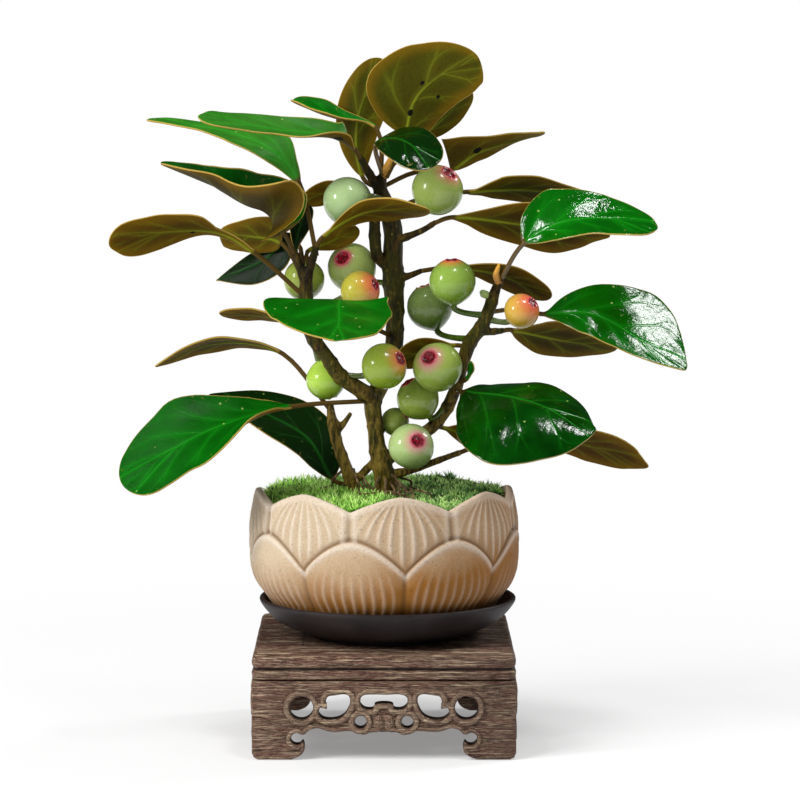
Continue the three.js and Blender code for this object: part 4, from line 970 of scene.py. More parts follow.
def make_figs(look):
    fig_finish(look)
    for number, (name, (*row, skin_code, blush_code, spread)) in enumerate(FIGS.items()):
        points, faces, to_eye, sun_and_light, height = fig_surface(number, look.stalk_radius / MM, *row)
        ripe = smooth(-1.15, -0.95, height)[:, None]
        fields = {"skin": mix(np.array(look.stalk)[:3], np.array(colour_of(skin_code)), ripe),
                  "blush": np.repeat([colour_of(blush_code)], len(points), 0),
                  "ripeness": triples(to_eye, spread, sun_and_light)}
        piece = surface(f"fig_fruit_{name}", points, faces, ["fig_skin"], fields=fields)
        place(piece, "fig", f"fig_{name}")


# Stems

THICKEST = 4.5  # the trunk's radius above the moss
PLANT_SPAN = (100, 235)  # how high the stems begin and end
STUB_END = (-3.8, 2, 210.2)
TRUNK, SECOND_STEM = (0.5, 0, 0), (-12.5, 3, 0)
ROOT_HEIGHT = 108
CURLS = ((9, -12), (16, -9), (5, -16), (-7, -11))


def stem_rings(points, seed):
    """A tube along a spline. Its radius runs evenly between the given ones and is multiplied by
    lengthwise ridges, soft lumps and the ring scars where leaves once stood."""
    path, radius = tapered(points, 12)
    radius = np.convolve(np.pad(radius, 4, mode="edge"), np.ones(9) / 9, mode="valid")
    run = lengths(path)[:, None]
    angle = circle(24)
    scars = np.cumsum(np.random.default_rng(seed).uniform(6.5, 12, 14)) - 3
    ring = hump(run - scars, 0.9).sum(-1, keepdims=True)
    ridges = np.sin(5 * angle + 0.09 * run + seed) * 0.035 + np.sin(9 * angle - 0.13 * run) * 0.025
    lumps = 0.05 * np.sin(run / 2.7 + 2 * np.sin(angle + seed)) * np.sin(run / 6.1 + seed)
    relief = ridges + lumps + 0.13 * ring
    return tube_rings(path, radius[:, None] * (1 + relief), len(angle))


def fused(name, points, faces, voxel, finish):
    """One closed skin round tubes that run into each other: the outside of the small cubes
    that they fill, smoothed."""
    piece = surface(name, points, faces, [finish])
    remesh = piece.modifiers.new("fuse", "REMESH")
    remesh.mode = "VOXEL"
    remesh.voxel_size = voxel * MM
    remesh.use_smooth_shade = True
    relax = piece.modifiers.new("relax", "SMOOTH")
    relax.factor = 0.5
    relax.iterations = 4
    mesh, old = evaluated(piece), piece.data
    piece.modifiers.clear()
    piece.data = mesh
    bpy.data.meshes.remove(old)
    mesh.name = name
    mesh.materials.clear()
    mesh.materials.append(bpy.data.materials[finish])
    return piece


def nearest_radius(points):
    """For each point, the radius of the nearest stem."""
    best = np.full(len(points), 1e9)
    thick = np.zeros(len(points))
    for stem in STEMS:
        for centre, radius in zip(*tapered(stem, 4)):
            far = ((points - centre) ** 2).sum(1) - radius ** 2
            nearer = far < best
            best[nearer] = far[nearer]
            thick[nearer] = radius
    return thick


def make_stems(look):
    bark_finishes(look)
    points, faces = joined([skin(stem_rings(stem, seed)) for seed, stem in enumerate(STEMS)])
    wood = fused("bark_stems", points, faces, look.detail / MM, "bark_rough")
    here = (points_of(wood.data) - AXIS) / MM
    thick, high = nearest_radius(here) / THICKEST, smooth(*PLANT_SPAN, here[:, 2])
    add_field(wood.data, "wood", triples(thick, high))
    place(wood, "bark", "stems")
    for name, finish, (points, faces), fields in (
            ("stem_buds", "bud", *bud_surfaces()), ("stem_stub_end", "bark_rough", *stub_end()),
            ("stem_roots", "root", root_surfaces(), {})):
        place(surface(name, points, faces, [finish], fields=fields), "bark", "stems")


def bud_surfaces():
    """Each bud is a tube to a fine point, over which two scales wrap: the radius steps in along
    a line that winds round the tube. The last bud is green."""
    parts, fields = [], []
    angle = circle(20)
    for seed, bud in enumerate(BUDS):
        path, radius = tapered(bud, 12)
        share = np.linspace(0, 1, len(path))
        scale = smooth(0, 0.5, np.sin(angle - 7 * share[:, None] + seed)) * 0.12
        parts.append(skin(tube_rings(path, radius[:, None] * (1 + scale), len(angle))))
        tip = np.concatenate([np.repeat(share, len(angle)), [0, 1]])
        fields.append(triples(tip, bud is BUDS[-1]))
    return joined(parts), {"wood": np.concatenate(fields)}


def stub_end():
    """The stub's cut end: a turned disc with a raised rim of bark and a sunken pith."""
    profile = [(0.0, -1.2), (2.2, -1.1), (2.5, -0.2), (2.45, 0.35), (2.1, 0.5), (1.8, 0.2),
               (1.0, 0.1), (0.75, 0.05), (0.6, -0.6), (0.0, -0.7)]
    out, up = spline(profile, 4).T[..., None]
    angle = circle(28)
    rings = triples(out * np.cos(angle), out * np.sin(angle), up)
    rings[..., :2] = np.where(np.abs(rings[..., :2]) < 1e-6, 1e-4, rings[..., :2])
    points, faces = skin(rings)
    points = points + 0.12 * unevenness(points, 3)[:, None] + STUB_END
    return (points, faces), {"wood": triples(0.9 + 0 * points[:, 0])}


def root_surfaces():
    """Thin aerial roots: tubes along splines that wander from the trunk into the moss, and
    curls that arch over it."""
    rng = np.random.default_rng(5)
    parts = []
    for k in range(16):
        turn = rng.uniform(0, TURN)
        base = TRUNK if k % 3 else SECOND_STEM
        way = np.array([math.cos(turn), math.sin(turn), 0])
        reach = rng.uniform(7, 17)
        steps = np.linspace(0, 1, 7)[:, None]
        wander = rng.normal(size=(7, 3)) * (1.6, 1.6, 0.5)
        height = ROOT_HEIGHT - 9.6 * np.sin(steps[:, 0] * 1.7) + rng.uniform(-2, 1)
        path = base + way * (3.2 + reach * steps) + wander * np.sin(math.pi * steps)
        ground = moss_height(path)[0] + 0.5
        path[:, 2] = np.maximum(height, ground)
        path[-1, 2] = ground[-1] - 3
        line = spline(path, 10)
        thin = np.linspace(0.62, 0.28, len(line)) * rng.uniform(0.7, 1.1)
        parts.append(skin(tube_rings(line, thin, 8)))
    for curl, (x, y) in enumerate(CURLS):
        turn = np.linspace(0, 5.2, 9) + curl
        ring = triples(x + 3.4 * np.cos(turn), y + 2.6 * np.sin(turn))
        ring[:, 2] = moss_height(ring)[0] + 0.7 + 2.2 * np.sin(np.linspace(0, math.pi, 9))
        ring[[0, -1], 2] -= 2.5
        parts.append(skin(tube_rings(spline(ring, 10), 0.3, 8)))
    return joined(parts)


# Moss

CUSHIONS = [(99, 3.0, 12), (149, 3.4, 17), (236, 1.4, 14)]  # angle, height, half-width
MOSS_RADIUS, MOSS_FLOOR = 48.1, 94.3


def moss_height(points):
    """The moss stands low in front and higher behind, with soft mounds and three cushions near
    the pot's edge. Gives the height and the angle from the front in degrees."""
    x, y = points[..., 0], points[..., 1]
    reach = np.clip(np.hypot(x, y) / MOSS_RADIUS, 0, 1)
    angle = np.degrees(np.arctan2(x, -y)) % 360
    turn = np.radians(angle)
    back = np.clip(0.5 - 0.75 * np.cos(turn), 0, 1)
    mounds = 0.7 * np.sin(5 * turn + 4 * reach) + 0.5 * np.cos(9 * turn)
    swelling = sum(height * hump(angle - at, width) for at, height, width in CUSHIONS)
    edge = mix(97.8, 99.8, back) + 0.3 * mounds + swelling
    return mix(98.6 + back + mounds, edge, reach ** 2), angle


def moss_cushion():
    """A disc over the soil whose height is the moss height less a little, with lumps, rolled
    over at the edge."""
    reach = np.concatenate([np.linspace(0.03, 0.97, 36), [0.985, 0.99, 0.985]])
    drop = np.concatenate([np.zeros(36), [0.6, 1.6, 3.2]])[:, None]
    angle = np.arange(0, 360, 2.5)
    top = around(reach[:, None] * MOSS_RADIUS, angle, 0.0)
    height = moss_height(top)[0] - 1.2 + 0.5 * unevenness(top[..., :2], 5)
    top[..., 2] = np.maximum(height - drop, MOSS_FLOOR)
    base = around(MOSS_RADIUS * np.array([[0.95], [0.03]]), angle, MOSS_FLOOR - 0.2)
    return skin(np.concatenate([base[::-1], top[::-1]]))


def moss_shoots(count, length, leaflets, bright):
    """Star-shaped shoots on the moss. Shoots stand in a sunflower spiral with jitter, the bright
    ones mostly on the left half and the others where they aren't. Each has leaflets in a cone
    round its axis, and each leaflet is a three-sided spike in two lengths that bends
    outwards."""
    rng = np.random.default_rng(3)
    k = np.arange(count)
    radius = MOSS_RADIUS * np.sqrt((k + 0.5) / count) * 0.985
    spot = triples(radius * np.cos(k * SPIRAL), radius * np.sin(k * SPIRAL))
    spot[:, :2] += rng.normal(size=(count, 2)) * 0.5
    spot = spot[np.hypot(*spot[:, :2].T) < MOSS_RADIUS - 0.3]
    for x, y, gap in ((1, 0, 6.5), (-12.2, 3, 4.5)):  # round the two stems
        spot = spot[np.hypot(spot[:, 0] - x, spot[:, 1] - y) > gap]
    height, angle = moss_height(spot)
    chance = rng.uniform(size=len(spot))
    kept = (np.sin(np.radians(angle)) * 0.9 + (chance - 0.5) * 0.5 < 0.12) == bright
    spot = spot[kept]
    many = len(spot)
    spot[:, 2] = height[kept] - 2.9 + rng.uniform(-1.2, 0.8, many)
    reach = np.hypot(*spot[:, :2].T)[:, None] / MOSS_RADIUS
    outward = unit(spot * (1, 1, 0)) * reach ** 4
    axis = unit(np.array([0, 0, 1.0]) + 0.35 * outward + rng.normal(size=(many, 3)) * 0.18)
    across = unit(np.cross(axis, [0.3, 1, 0.1]))
    up = np.cross(axis, across)[:, None]
    axis, across = axis[:, None], across[:, None]
    spin = (np.arange(leaflets) * SPIRAL + rng.uniform(0, 6.28, (many, 1)))[..., None]
    lean = np.radians(mix(10, 84, (np.arange(leaflets) + 0.5) / leaflets)
                      + rng.normal(size=(many, leaflets)) * 7)[..., None]
    out = across * np.cos(spin) + up * np.sin(spin)
    way = axis * np.cos(lean) + out * np.sin(lean)
    size = length * rng.uniform(0.7, 1.15, (many, leaflets))[..., None]
    flat = unit(np.cross(way, axis))
    thick = np.cross(way, flat)
    start = spot[:, None] + way * size * 0.08
    middle = start + way * size * 0.55 + out * size * 0.05
    tip = start + way * size + out * size * 0.16 - (0, 0, 0.05) * size
    corners = [centre + size * wide * (flat * math.cos(c) + thick * 0.45 * math.sin(c))
               for centre, wide in ((start, 0.05), (middle, 0.075))
               for c in np.radians([90, 210, 330])]
    points = np.stack([*corners, tip], 2).reshape(-1, 3)
    first = np.arange(many * leaflets)[:, None] * 7
    sides = np.concatenate([first + [a, b, b + 3, a + 3] for a, b in ((0, 1), (1, 2), (2, 0))])
    ends = np.concatenate([first + [a, b, c] for a, b, c in (
        (3, 4, 6), (4, 5, 6), (5, 3, 6), (0, 2, 1))])
    tone = np.repeat(rng.uniform(0, 1, many), leaflets * 7)
    reach = np.tile([0, 0, 0, 0.55, 0.55, 0.55, 1.0], many * leaflets)
    return points, [sides, ends], triples(reach, tone)


def make_moss(look):
    ground_finishes(look)
    points, faces = moss_cushion()
    place(surface("moss_ground", points, faces, ["moss_cushion"]), "moss", "moss")
    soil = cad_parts["soil"].data
    soil.materials.clear()
    soil.materials.append(bpy.data.materials["soil_crumbs"])
    for tone, shorter in (("bright", 1), ("dark", 0.75)):
        points, faces, leaflet = moss_shoots(
            look.stars, look.star_length * shorter / MM, look.leaflets, tone == "bright")
        piece = surface(f"moss_stars_{tone}", points, faces, [f"moss_{tone}"],
                        fields={"leaflet": leaflet})
        place(piece, "moss", "moss")


# Pot

POT_PROFILE = [(35, 45), (44, 52), (48.4, 59), (50.6, 62.4), (53, 68.5), (54.2, 78), (54.1, 88),
               (53, 97), (52, 104)]
UPPER_TURN, LOWER_TURN, PETAL = 7.5, -13.5, 45.0
POT_COLUMNS, POT_FOOT, POT_BELLY = 512, 45.0, 62.4
LOWER_ROOT, LOWER_TOP, UPPER_ROOT = 38.0, 86.5, 60.0  # heights that the ribs run between
RIM_ROWS = 6


def across_petal(angle, turn):
    """How far an angle is from the middle of its petal, from -1 to 1 at its seams."""
    return ((angle - turn + PETAL / 2) % PETAL - PETAL / 2) / (PETAL / 2)


def pot_surface(ribs, rib_height, relief):
    """The pot's wall, turned about the axis. Rows of points follow the wavy edge of the lower
    petals and the rim. The radius comes from the profile, plus the lower petals' thickness, a
    soft pillow on each petal, a raised margin, and ribs: narrow waves across the petal, which
    run together at its tip and root because they are measured against its local width."""
    angle = UPPER_TURN + np.arange(POT_COLUMNS) * 360 / POT_COLUMNS
    upper, lower = across_petal(angle, UPPER_TURN), across_petal(angle, LOWER_TURN)
    behind = np.clip(0.5 - 0.8 * np.cos(np.radians(angle)), 0, 1)
    tip = mix(103.4, 100.2, behind)
    rim = mix(tip, 97.2, np.abs(upper) ** 1.5)
    edge = mix(85.8, 73.0, np.abs(lower) ** 1.75)
    steps = ((np.linspace(0, 1, 16, endpoint=False), 0 * edge + POT_FOOT, POT_BELLY),
             (np.linspace(0, 1, 34), POT_BELLY, edge - 0.35),
             (np.linspace(0.12, 0.88, 3), edge - 0.35, edge + 0.45),
             (np.linspace(0, 1, 44), edge + 0.45, rim - 1.0))
    z = np.concatenate([mix(low, high, t[:, None]) for t, low, high in steps])
    is_upper = smooth(-0.35, 0.45, z - edge)
    profile = spline(POT_PROFILE, 12)
    radius = np.interp(z, profile[:, 1], profile[:, 0])

    off_seam = 1 - np.abs(lower)
    high = np.clip((z - LOWER_ROOT) / (LOWER_TOP - LOWER_ROOT), 0, 1)
    local = np.sin(math.pi * np.clip(high, 0.02, 0.995) ** 0.95) ** 0.55
    p = lower / np.maximum(local, 0.05)
    wave = (0.5 + 0.5 * np.cos(math.pi * (ribs + 1) * p)) ** 3
    wave = wave * smooth(46, 50, z) * (1 - smooth(62, 79, z)) * (1 - smooth(0.72, 0.95, np.abs(p)))
    thick = relief * smooth(54, 64, z) * (1 - np.abs(lower) ** 9)
    below = edge - z
    margin = 0.3 * hump(below - 1.3, 1.0) * smooth(0, 0.4, off_seam)
    pillow = 0.55 * (1 - lower ** 2) * smooth(50, 66, z) * smooth(0, 9, below)
    seam = 0.6 * hump(off_seam * 20, 0.7) * smooth(46, 52, z)
    low_relief = thick + margin + pillow + rib_height * wave - seam

    high = np.clip((z - UPPER_ROOT) / (tip + 1 - UPPER_ROOT), 0.02, 0.995)
    local = np.sin(math.pi * high ** 1.15) ** 0.75
    q = upper / np.maximum(local, 0.05)
    fold = (0.5 + 0.5 * np.cos(math.pi * ribs * q)) ** 3.5
    fold = (fold * (1 - smooth(0.78, 0.95, np.abs(q))) * (1 - smooth(0.86, 0.95, high))
            * smooth(0.5, 6, z - edge))
    gutter = relief * np.abs(upper) ** 12
    lip = 0.3 * hump((1 - np.abs(upper)) * 20 - 2.2, 1.1)
    below_rim = rim - z
    crown = 0.25 * hump(below_rim - 1.6, 1.3)
    cushion = 0.5 * (1 - upper ** 2) * smooth(0, 14, below_rim)
    shadow = 0.35 * hump(z - edge - 0.8, 1.0)
    high_relief = cushion + lip + crown + rib_height * fold - gutter - shadow
    outer = radius + mix(low_relief, high_relief, is_upper) - 0.35

    crest = mix(wave * 0.4 + 0.8 * hump(below - 1.2, 1.5), fold * 0.7 + 1.8 * lip + 2.2 * crown,
                is_upper)
    # painted shade in the seams and gutters, between the ribs and folds, and under the lower
    # petals' edge
    hollow_shade = mix(0.9 * seam + (smooth(46, 49, z) - smooth(58, 70, z)) * (1 - wave) * 0.5,
                 0.8 * gutter + 2.2 * shadow + 0.18 * (1 - fold) * (np.abs(q) < 0.85), is_upper)
    turn = np.linspace(0.18, 1, RIM_ROWS)[:, None] * math.pi
    rim_radius = mix(49.6, outer[-1:], 0.5 + 0.5 * np.cos(turn))
    inside = ((49.4, rim - 3), (48.6, 92), (45.0, 66), (33.0, 49.5), (5.0, 49.5), (5.0, 45),
              (34.0, 45))
    all_radius = np.concatenate([outer, rim_radius, [0 * rim + r for r, _ in inside]])
    z = np.concatenate([z, rim - 1.0 + np.sin(turn), [0 * rim + height for _, height in inside]])
    points = around(all_radius, angle, z).reshape(-1, 3)
    plain = np.zeros((len(inside), POT_COLUMNS))
    pale_rim = np.full((RIM_ROWS, POT_COLUMNS), 0.65)
    crest = np.concatenate([np.clip(crest, 0, 1), pale_rim, plain])
    hollow_shade = np.concatenate([np.clip(hollow_shade, 0, 1), 0 * pale_rim, plain])
    low = 1 - smooth(50, 92, points[:, 2])
    return points, [grid_faces(len(z), POT_COLUMNS, True)], triples(
        crest.ravel(), hollow_shade.ravel(), low)


def make_pot(look):
    pot_finish(look)
    points, faces, relief = pot_surface(look.ribs, look.rib_height / MM, look.petal_relief / MM)
    piece = surface("lotus_pot", points, faces, ["stoneware"], fields={"relief": relief})
    place(piece, "pot_clay", "pot")


SAUCER_PROFILE = [(1, 41.3), (31, 41.3), (32, 41.5), (32.6, 42.2), (38, 44.2), (44, 47),
                  (48.2, 50.4), (51, 53.8), (52.1, 55.6), (52.2, 56.4), (51.8, 56.9), (51, 57),
                  (50.3, 56.7), (49.6, 55.4), (46.6, 52), (41.8, 48.2), (38.4, 45.4),
                  (37.4, 44.8), (1, 44.7)]
SAUCER_ASIDE = 1.5  # the saucer stands a little to the right


def make_saucer(look):
    """A shallow bowl: its profile, smoothed, turned about the axis with a slight wave."""
    saucer_finish(look)
    profile = spline(SAUCER_PROFILE, 5)
    angle = np.arange(0, 360, 3.0)
    rings = around(profile[:, :1], angle, profile[:, 1:])
    rings[..., 2] += 0.1 * np.sin(np.radians(angle) * 2 + 1) * smooth(45, 57, profile[:, 1:])
    rings[..., 0] += SAUCER_ASIDE
    points, faces = skin(rings)
    place(surface("clay_saucer", points, faces, ["clay_matt"]), "saucer_clay", "saucer")


# Stand

STAND_WIDTH, STAND_DEPTH, STAND_HEIGHT = 104.0, 108.0, 41.0
BOARD, PANEL, GAP, CORNER = 9.6, 7.0, 0.3, 3.5
ARRIS = 0.6
BOARD_EDGE = [(9.6, 2.6), (9.55, 1.6), (9.2, 0.7), (8.6, 0.3), (7.6, 0.05), (6.6, 0.0), (6.1, 0.2),
              (5.7, 0.9), (5.4, 1.3), (5.0, 1.3), (4.7, 0.9), (4.2, 0.4), (3.6, 0.15), (2.4, 0.05),
              (1.5, 0.15), (0.7, 0.55), (0.2, 1.2), (0.0, 2.1), (0.0, 3.2)]


def board_surface():
    """The top board: its moulded edge carried round a rectangle with rounded corners, closed
    by rings that shrink to the middle above and below. The edge is a little worn."""
    arc = np.radians(np.linspace(0, 90, 9))
    ring = np.concatenate([
        np.stack([sx * (STAND_WIDTH / 2 - CORNER) + CORNER * np.cos(arc + quarter * TURN / 4),
                  sy * (STAND_DEPTH / 2 - CORNER) + CORNER * np.sin(arc + quarter * TURN / 4)], 1)
        for quarter, (sx, sy) in enumerate(((1, 1), (-1, 1), (-1, -1), (1, -1)))])
    closed = np.concatenate([ring, ring[:1]])
    run = lengths(closed)
    ring = sampled(closed, run, np.linspace(0, run[-1], 201)[:-1])
    way = unit(np.roll(ring, -1, 0) - np.roll(ring, 1, 0))
    outward = np.stack([way[:, 1], -way[:, 0]], 1)
    rows, profile = [], spline(BOARD_EDGE, 3)
    for below, inset in profile:
        worn = 0.1 * unevenness(triples(*ring.T, below * 6), 22, 2)
        flat = ring - outward * inset + outward * worn[:, None]
        rows.append(triples(*flat.T, STAND_HEIGHT - below))
    rings = np.stack(rows)
    shrink = np.array([0.93, 0.8, 0.6, 0.4, 0.2, 0.03])
    inward = shrink[:, None, None] * (1, 1, 0) + (0, 0, 1)
    points, faces = skin(np.concatenate([rings[:1] * inward[::-1], rings, rings[-1:] * inward]))
    # painted shade in the cove between the edge's two bands
    groove = smooth(0.5, 1.2, profile[:, 1]) * (np.abs(profile[:, 0] - 5.2) < 1)
    shade = np.repeat(np.concatenate([0 * shrink, groove, 0 * shrink]), len(ring))
    return points, faces, triples(np.concatenate([shade, [0, 0]]))


def panel_loops(half_width):
    """The outline of a carved panel and its holes, as smooth loops of (along, up), and the
    right half of its lower edge."""
    scroll = np.radians([135, 85, 35, -15, -65, -115, -150])
    arc = np.stack([34.2 + 2.6 * np.cos(scroll), 8.3 + 2.6 * np.sin(scroll)], 1)
    edge = spline([(0, 11), (5, 11), (8, 10), (10.5, 10.9), (13, 11.5), (20, 11.2), (23.5, 11.8),
                   (26.5, 12.7), (29.5, 11.8), (31.3, 10.2), *arc, (31.2, 5.4), (31.5, 3.4),
                   (33.2, 1.4), (36.5, 0)], 6)
    side = [(half_width - 2.6, 0), (half_width - 0.8, 0.8), (half_width, 2.6),
            (half_width, STAND_HEIGHT - BOARD - GAP)]
    right = np.concatenate([edge, side])
    outline = np.concatenate([right, right[:0:-1] * (-1, 1)])
    bean = np.array([(13, 24), (13.8, 20.5), (15.6, 17.6), (19, 16), (23.6, 16.2), (25.8, 18.4),
                     (24.8, 21), (22.6, 20.4), (23, 23), (22, 25.3), (19, 25.9), (14.2, 25.9)])
    centre = np.array([(9.3, 22), (9.2, 24.6), (7.2, 26), (0, 26.1), (-7.2, 26), (-9.2, 24.6),
                       (-9.3, 22), (-7.5, 20.2), (-4, 20.2), (-3.4, 21.8), (3.4, 21.8), (4, 20.2),
                       (7.5, 20.2)])
    turn = circle(12)
    eye = np.stack([32.5 + 4.8 * np.cos(turn), 20.6 + 4.8 * np.sin(turn)], 1)
    bead = np.stack([9.2 + 2.6 * np.cos(turn), 15 + 2.6 * np.sin(turn)], 1)
    holes = [centre, bean, bean * (-1, 1), eye, eye * (-1, 1), bead, bead * (-1, 1)]
    return outline, [spline(hole, 5, closed=True) for hole in holes], edge


def fretwork(loops):
    """The panel's plate: a flat filled outline with holes, given its thickness and rounded
    arrises, standing in the plane of X and Z."""
    curve = bpy.data.curves.new("fretwork", "CURVE")
    curve.dimensions = "2D"
    curve.fill_mode = "BOTH"
    curve.bevel_depth = ARRIS * MM
    curve.bevel_resolution = 2
    curve.offset = -ARRIS * MM
    curve.extrude = (PANEL / 2 - ARRIS) * MM
    for loop in loops:
        line = curve.splines.new("POLY")
        line.points.add(len(loop) - 1)
        flat = np.column_stack([loop * MM, 0 * loop[:, 0], 1 + 0 * loop[:, 0]])
        line.points.foreach_set("co", flat.ravel())
        line.use_cyclic_u = True
    shape = linked("fretwork", curve)
    bpy.context.view_layer.update()
    mesh = evaluated(shape)
    bpy.data.objects.remove(shape)
    bpy.data.curves.remove(curve)
    points = points_of(mesh)[:, [0, 2, 1]] / MM
    points[:, 1] *= -1
    mesh.calc_loop_triangles()
    faces = np.zeros(len(mesh.loop_triangles) * 3, np.int32)
    mesh.loop_triangles.foreach_get("vertices", faces)
    bpy.data.meshes.remove(mesh)
    _, kept, same = np.unique(np.round(points, 3), axis=0, return_index=True, return_inverse=True)
    faces = same.ravel()[faces].reshape(-1, 3)
    flat = (faces == np.roll(faces, 1, 1)).any(1)
    return points[kept], [faces[~flat]]


def moulding(loop, radius, front, closed=True):
    """A rounded moulding along a hole or edge: an oval carried along the loop, set back from
    the opening by its own radius and half sunk into the face."""
    path = triples(loop[:, 0], front, loop[:, 1])
    if closed:
        way = unit(np.roll(path, -1, 0) - np.roll(path, 1, 0))
    else:
        way = unit(np.gradient(path, axis=0))
    side = triples(way[:, 2], 0, -way[:, 0])
    side = side * np.sign((side * (path - path.mean(0))).sum() if closed else side[:, 2].sum())
    path = path + side * (radius * 0.85)
    angle = circle(12)[:, None]
    wobble = 1 + 0.12 * unevenness(path, 7, 4)[:, None, None]
    rings = path[:, None] + wobble * radius * (
        side[:, None] * np.cos(angle) + np.array([0, -0.95, 0]) * np.sin(angle))
    if closed:
        return rings.reshape(-1, 3), [grid_faces(len(path), len(angle), True)]
    return skin(rings)


def barrel(x, front):
    """One half of the knot: a short upright barrel whose radius swells in the middle and has
    fine upright grooves."""
    height = np.linspace(0, 1, 15)
    swell = 1.45 + 0.6 * np.sin(math.pi * height) ** 0.7
    swell[[0, -1]] *= 0.8
    grooves = 1 + 0.05 * np.cos(12 * circle(48))
    return skin(tube_rings(triples(x, front + 0.9, 11.6 + 6.4 * height),
                           swell[:, None] * grooves, len(grooves)))


def panel_surface(half_width, radius):
    """A carved panel that faces the front: a plate with mouldings round its holes and along its
    lower edge, and a knot of two barrels in the middle."""
    outline, holes, edge = panel_loops(half_width)
    face = -PANEL / 2 + 0.15
    plate = fretwork([outline, *holes])
    along, out, up = plate[0].T
    inside = smooth(0.1, 0.6, PANEL / 2 - np.abs(out))
    parts = [plate]
    # painted shade on the walls inside the holes
    carving = [triples(inside * (np.abs(along) < half_width - 3) * (up < 28))]
    sweep = edge[3:-8]
    for rim in [*(moulding(hole, radius, face) for hole in holes),
                *(moulding(line, radius * 0.8, face, closed=False)
                  for line in (sweep, sweep * (-1, 1)))]:
        parts.append(rim)
        # the moulding's front is paler, partly wear and partly painted highlight; its back,
        # against the plate, gets painted shade
        worn = smooth(0.3, 0.9, (face - rim[0][:, 1]) / radius)
        carving.append(triples(0.25 * (1 - worn), worn))
    for x in (-2.15, 2.15):
        parts.append(barrel(x, -PANEL / 2))
        # the knot is paler like the crests: partly wear, partly painted highlight
        carving.append(0 * parts[-1][0] + (0, 0.4, 0))
    return *joined(parts), np.concatenate(carving)


def make_stand(look):
    scale = look.fibres
    wood_finish(look, "wood_lengthwise", (scale * 0.035, scale, scale))
    wood_finish(look, "wood_sideways", (scale, scale * 0.035, scale))
    wood_finish(look, "wood_board", (scale * 0.035, scale * 0.22, scale),
                (AXIS[0] - 0.0325, AXIS[1] - 0.03))
    points, faces, carving = board_surface()
    piece = surface("stand_board", points, faces, ["wood_board"], fields={"carving": carving})
    place(piece, "stand_wood", "stand_top")
    side_half = STAND_DEPTH / 2 - PANEL - GAP
    for name, half_width, distance, quarter in (
            ("front", STAND_WIDTH / 2, STAND_DEPTH / 2, 0),
            ("back", STAND_WIDTH / 2, STAND_DEPTH / 2, 2),
            ("left", side_half, STAND_WIDTH / 2, 3), ("right", side_half, STAND_WIDTH / 2, 1)):
        points, faces, carving = panel_surface(half_width, look.moulding / MM)
        x, y, z = points.T
        y = y - (distance - PANEL / 2)
        cos, sin = ((1, 0), (0, 1), (-1, 0), (0, -1))[quarter]
        points = triples(x * cos - y * sin, x * sin + y * cos, z)
        finish = "wood_sideways" if quarter % 2 else "wood_lengthwise"
        piece = surface(f"stand_fretwork_{name}", points, faces, [finish],
                        fields={"carving": carving})
        solid = bmesh.new()
        solid.from_mesh(piece.data)
        bmesh.ops.recalc_face_normals(solid, faces=solid.faces)
        solid.to_mesh(piece.data)
        solid.free()
        piece.data.set_sharp_from_angle(angle=math.radians(40))
        place(piece, "stand_wood", f"stand_panel_{name}")


# Stage

PHOTO_DISTANCE, PHOTO_HEIGHT, PHOTO_TILT = 1.289, 0.2588, 5.4  # metres and degrees
PHOTO_FOCAL, SENSOR, PHOTO_SHIFT = 143.55, 36.0, 0.02
FLOOR_LEVEL, FLOOR_RADIUS, FLOOR_RINGS, FLOOR_SIDES = -0.2, 6000, 24, 60


def floor_surface():
    """A wide disc at floor level, with rings that grow with the square of their number."""
    reach = FLOOR_RADIUS * np.linspace(0.02, 1, FLOOR_RINGS) ** 2
    rings = around(reach[::-1, None], np.arange(0, 360, 360 / FLOOR_SIDES), FLOOR_LEVEL)
    points = np.concatenate([rings.reshape(-1, 3), [(0, 0, FLOOR_LEVEL)]])
    here, last = np.arange(FLOOR_SIDES), (FLOOR_RINGS - 1) * FLOOR_SIDES
    fan = triples(last + here, last + (here + 1) % FLOOR_SIDES, last + FLOOR_SIDES)
    return points, [grid_faces(FLOOR_RINGS, FLOOR_SIDES), fan]


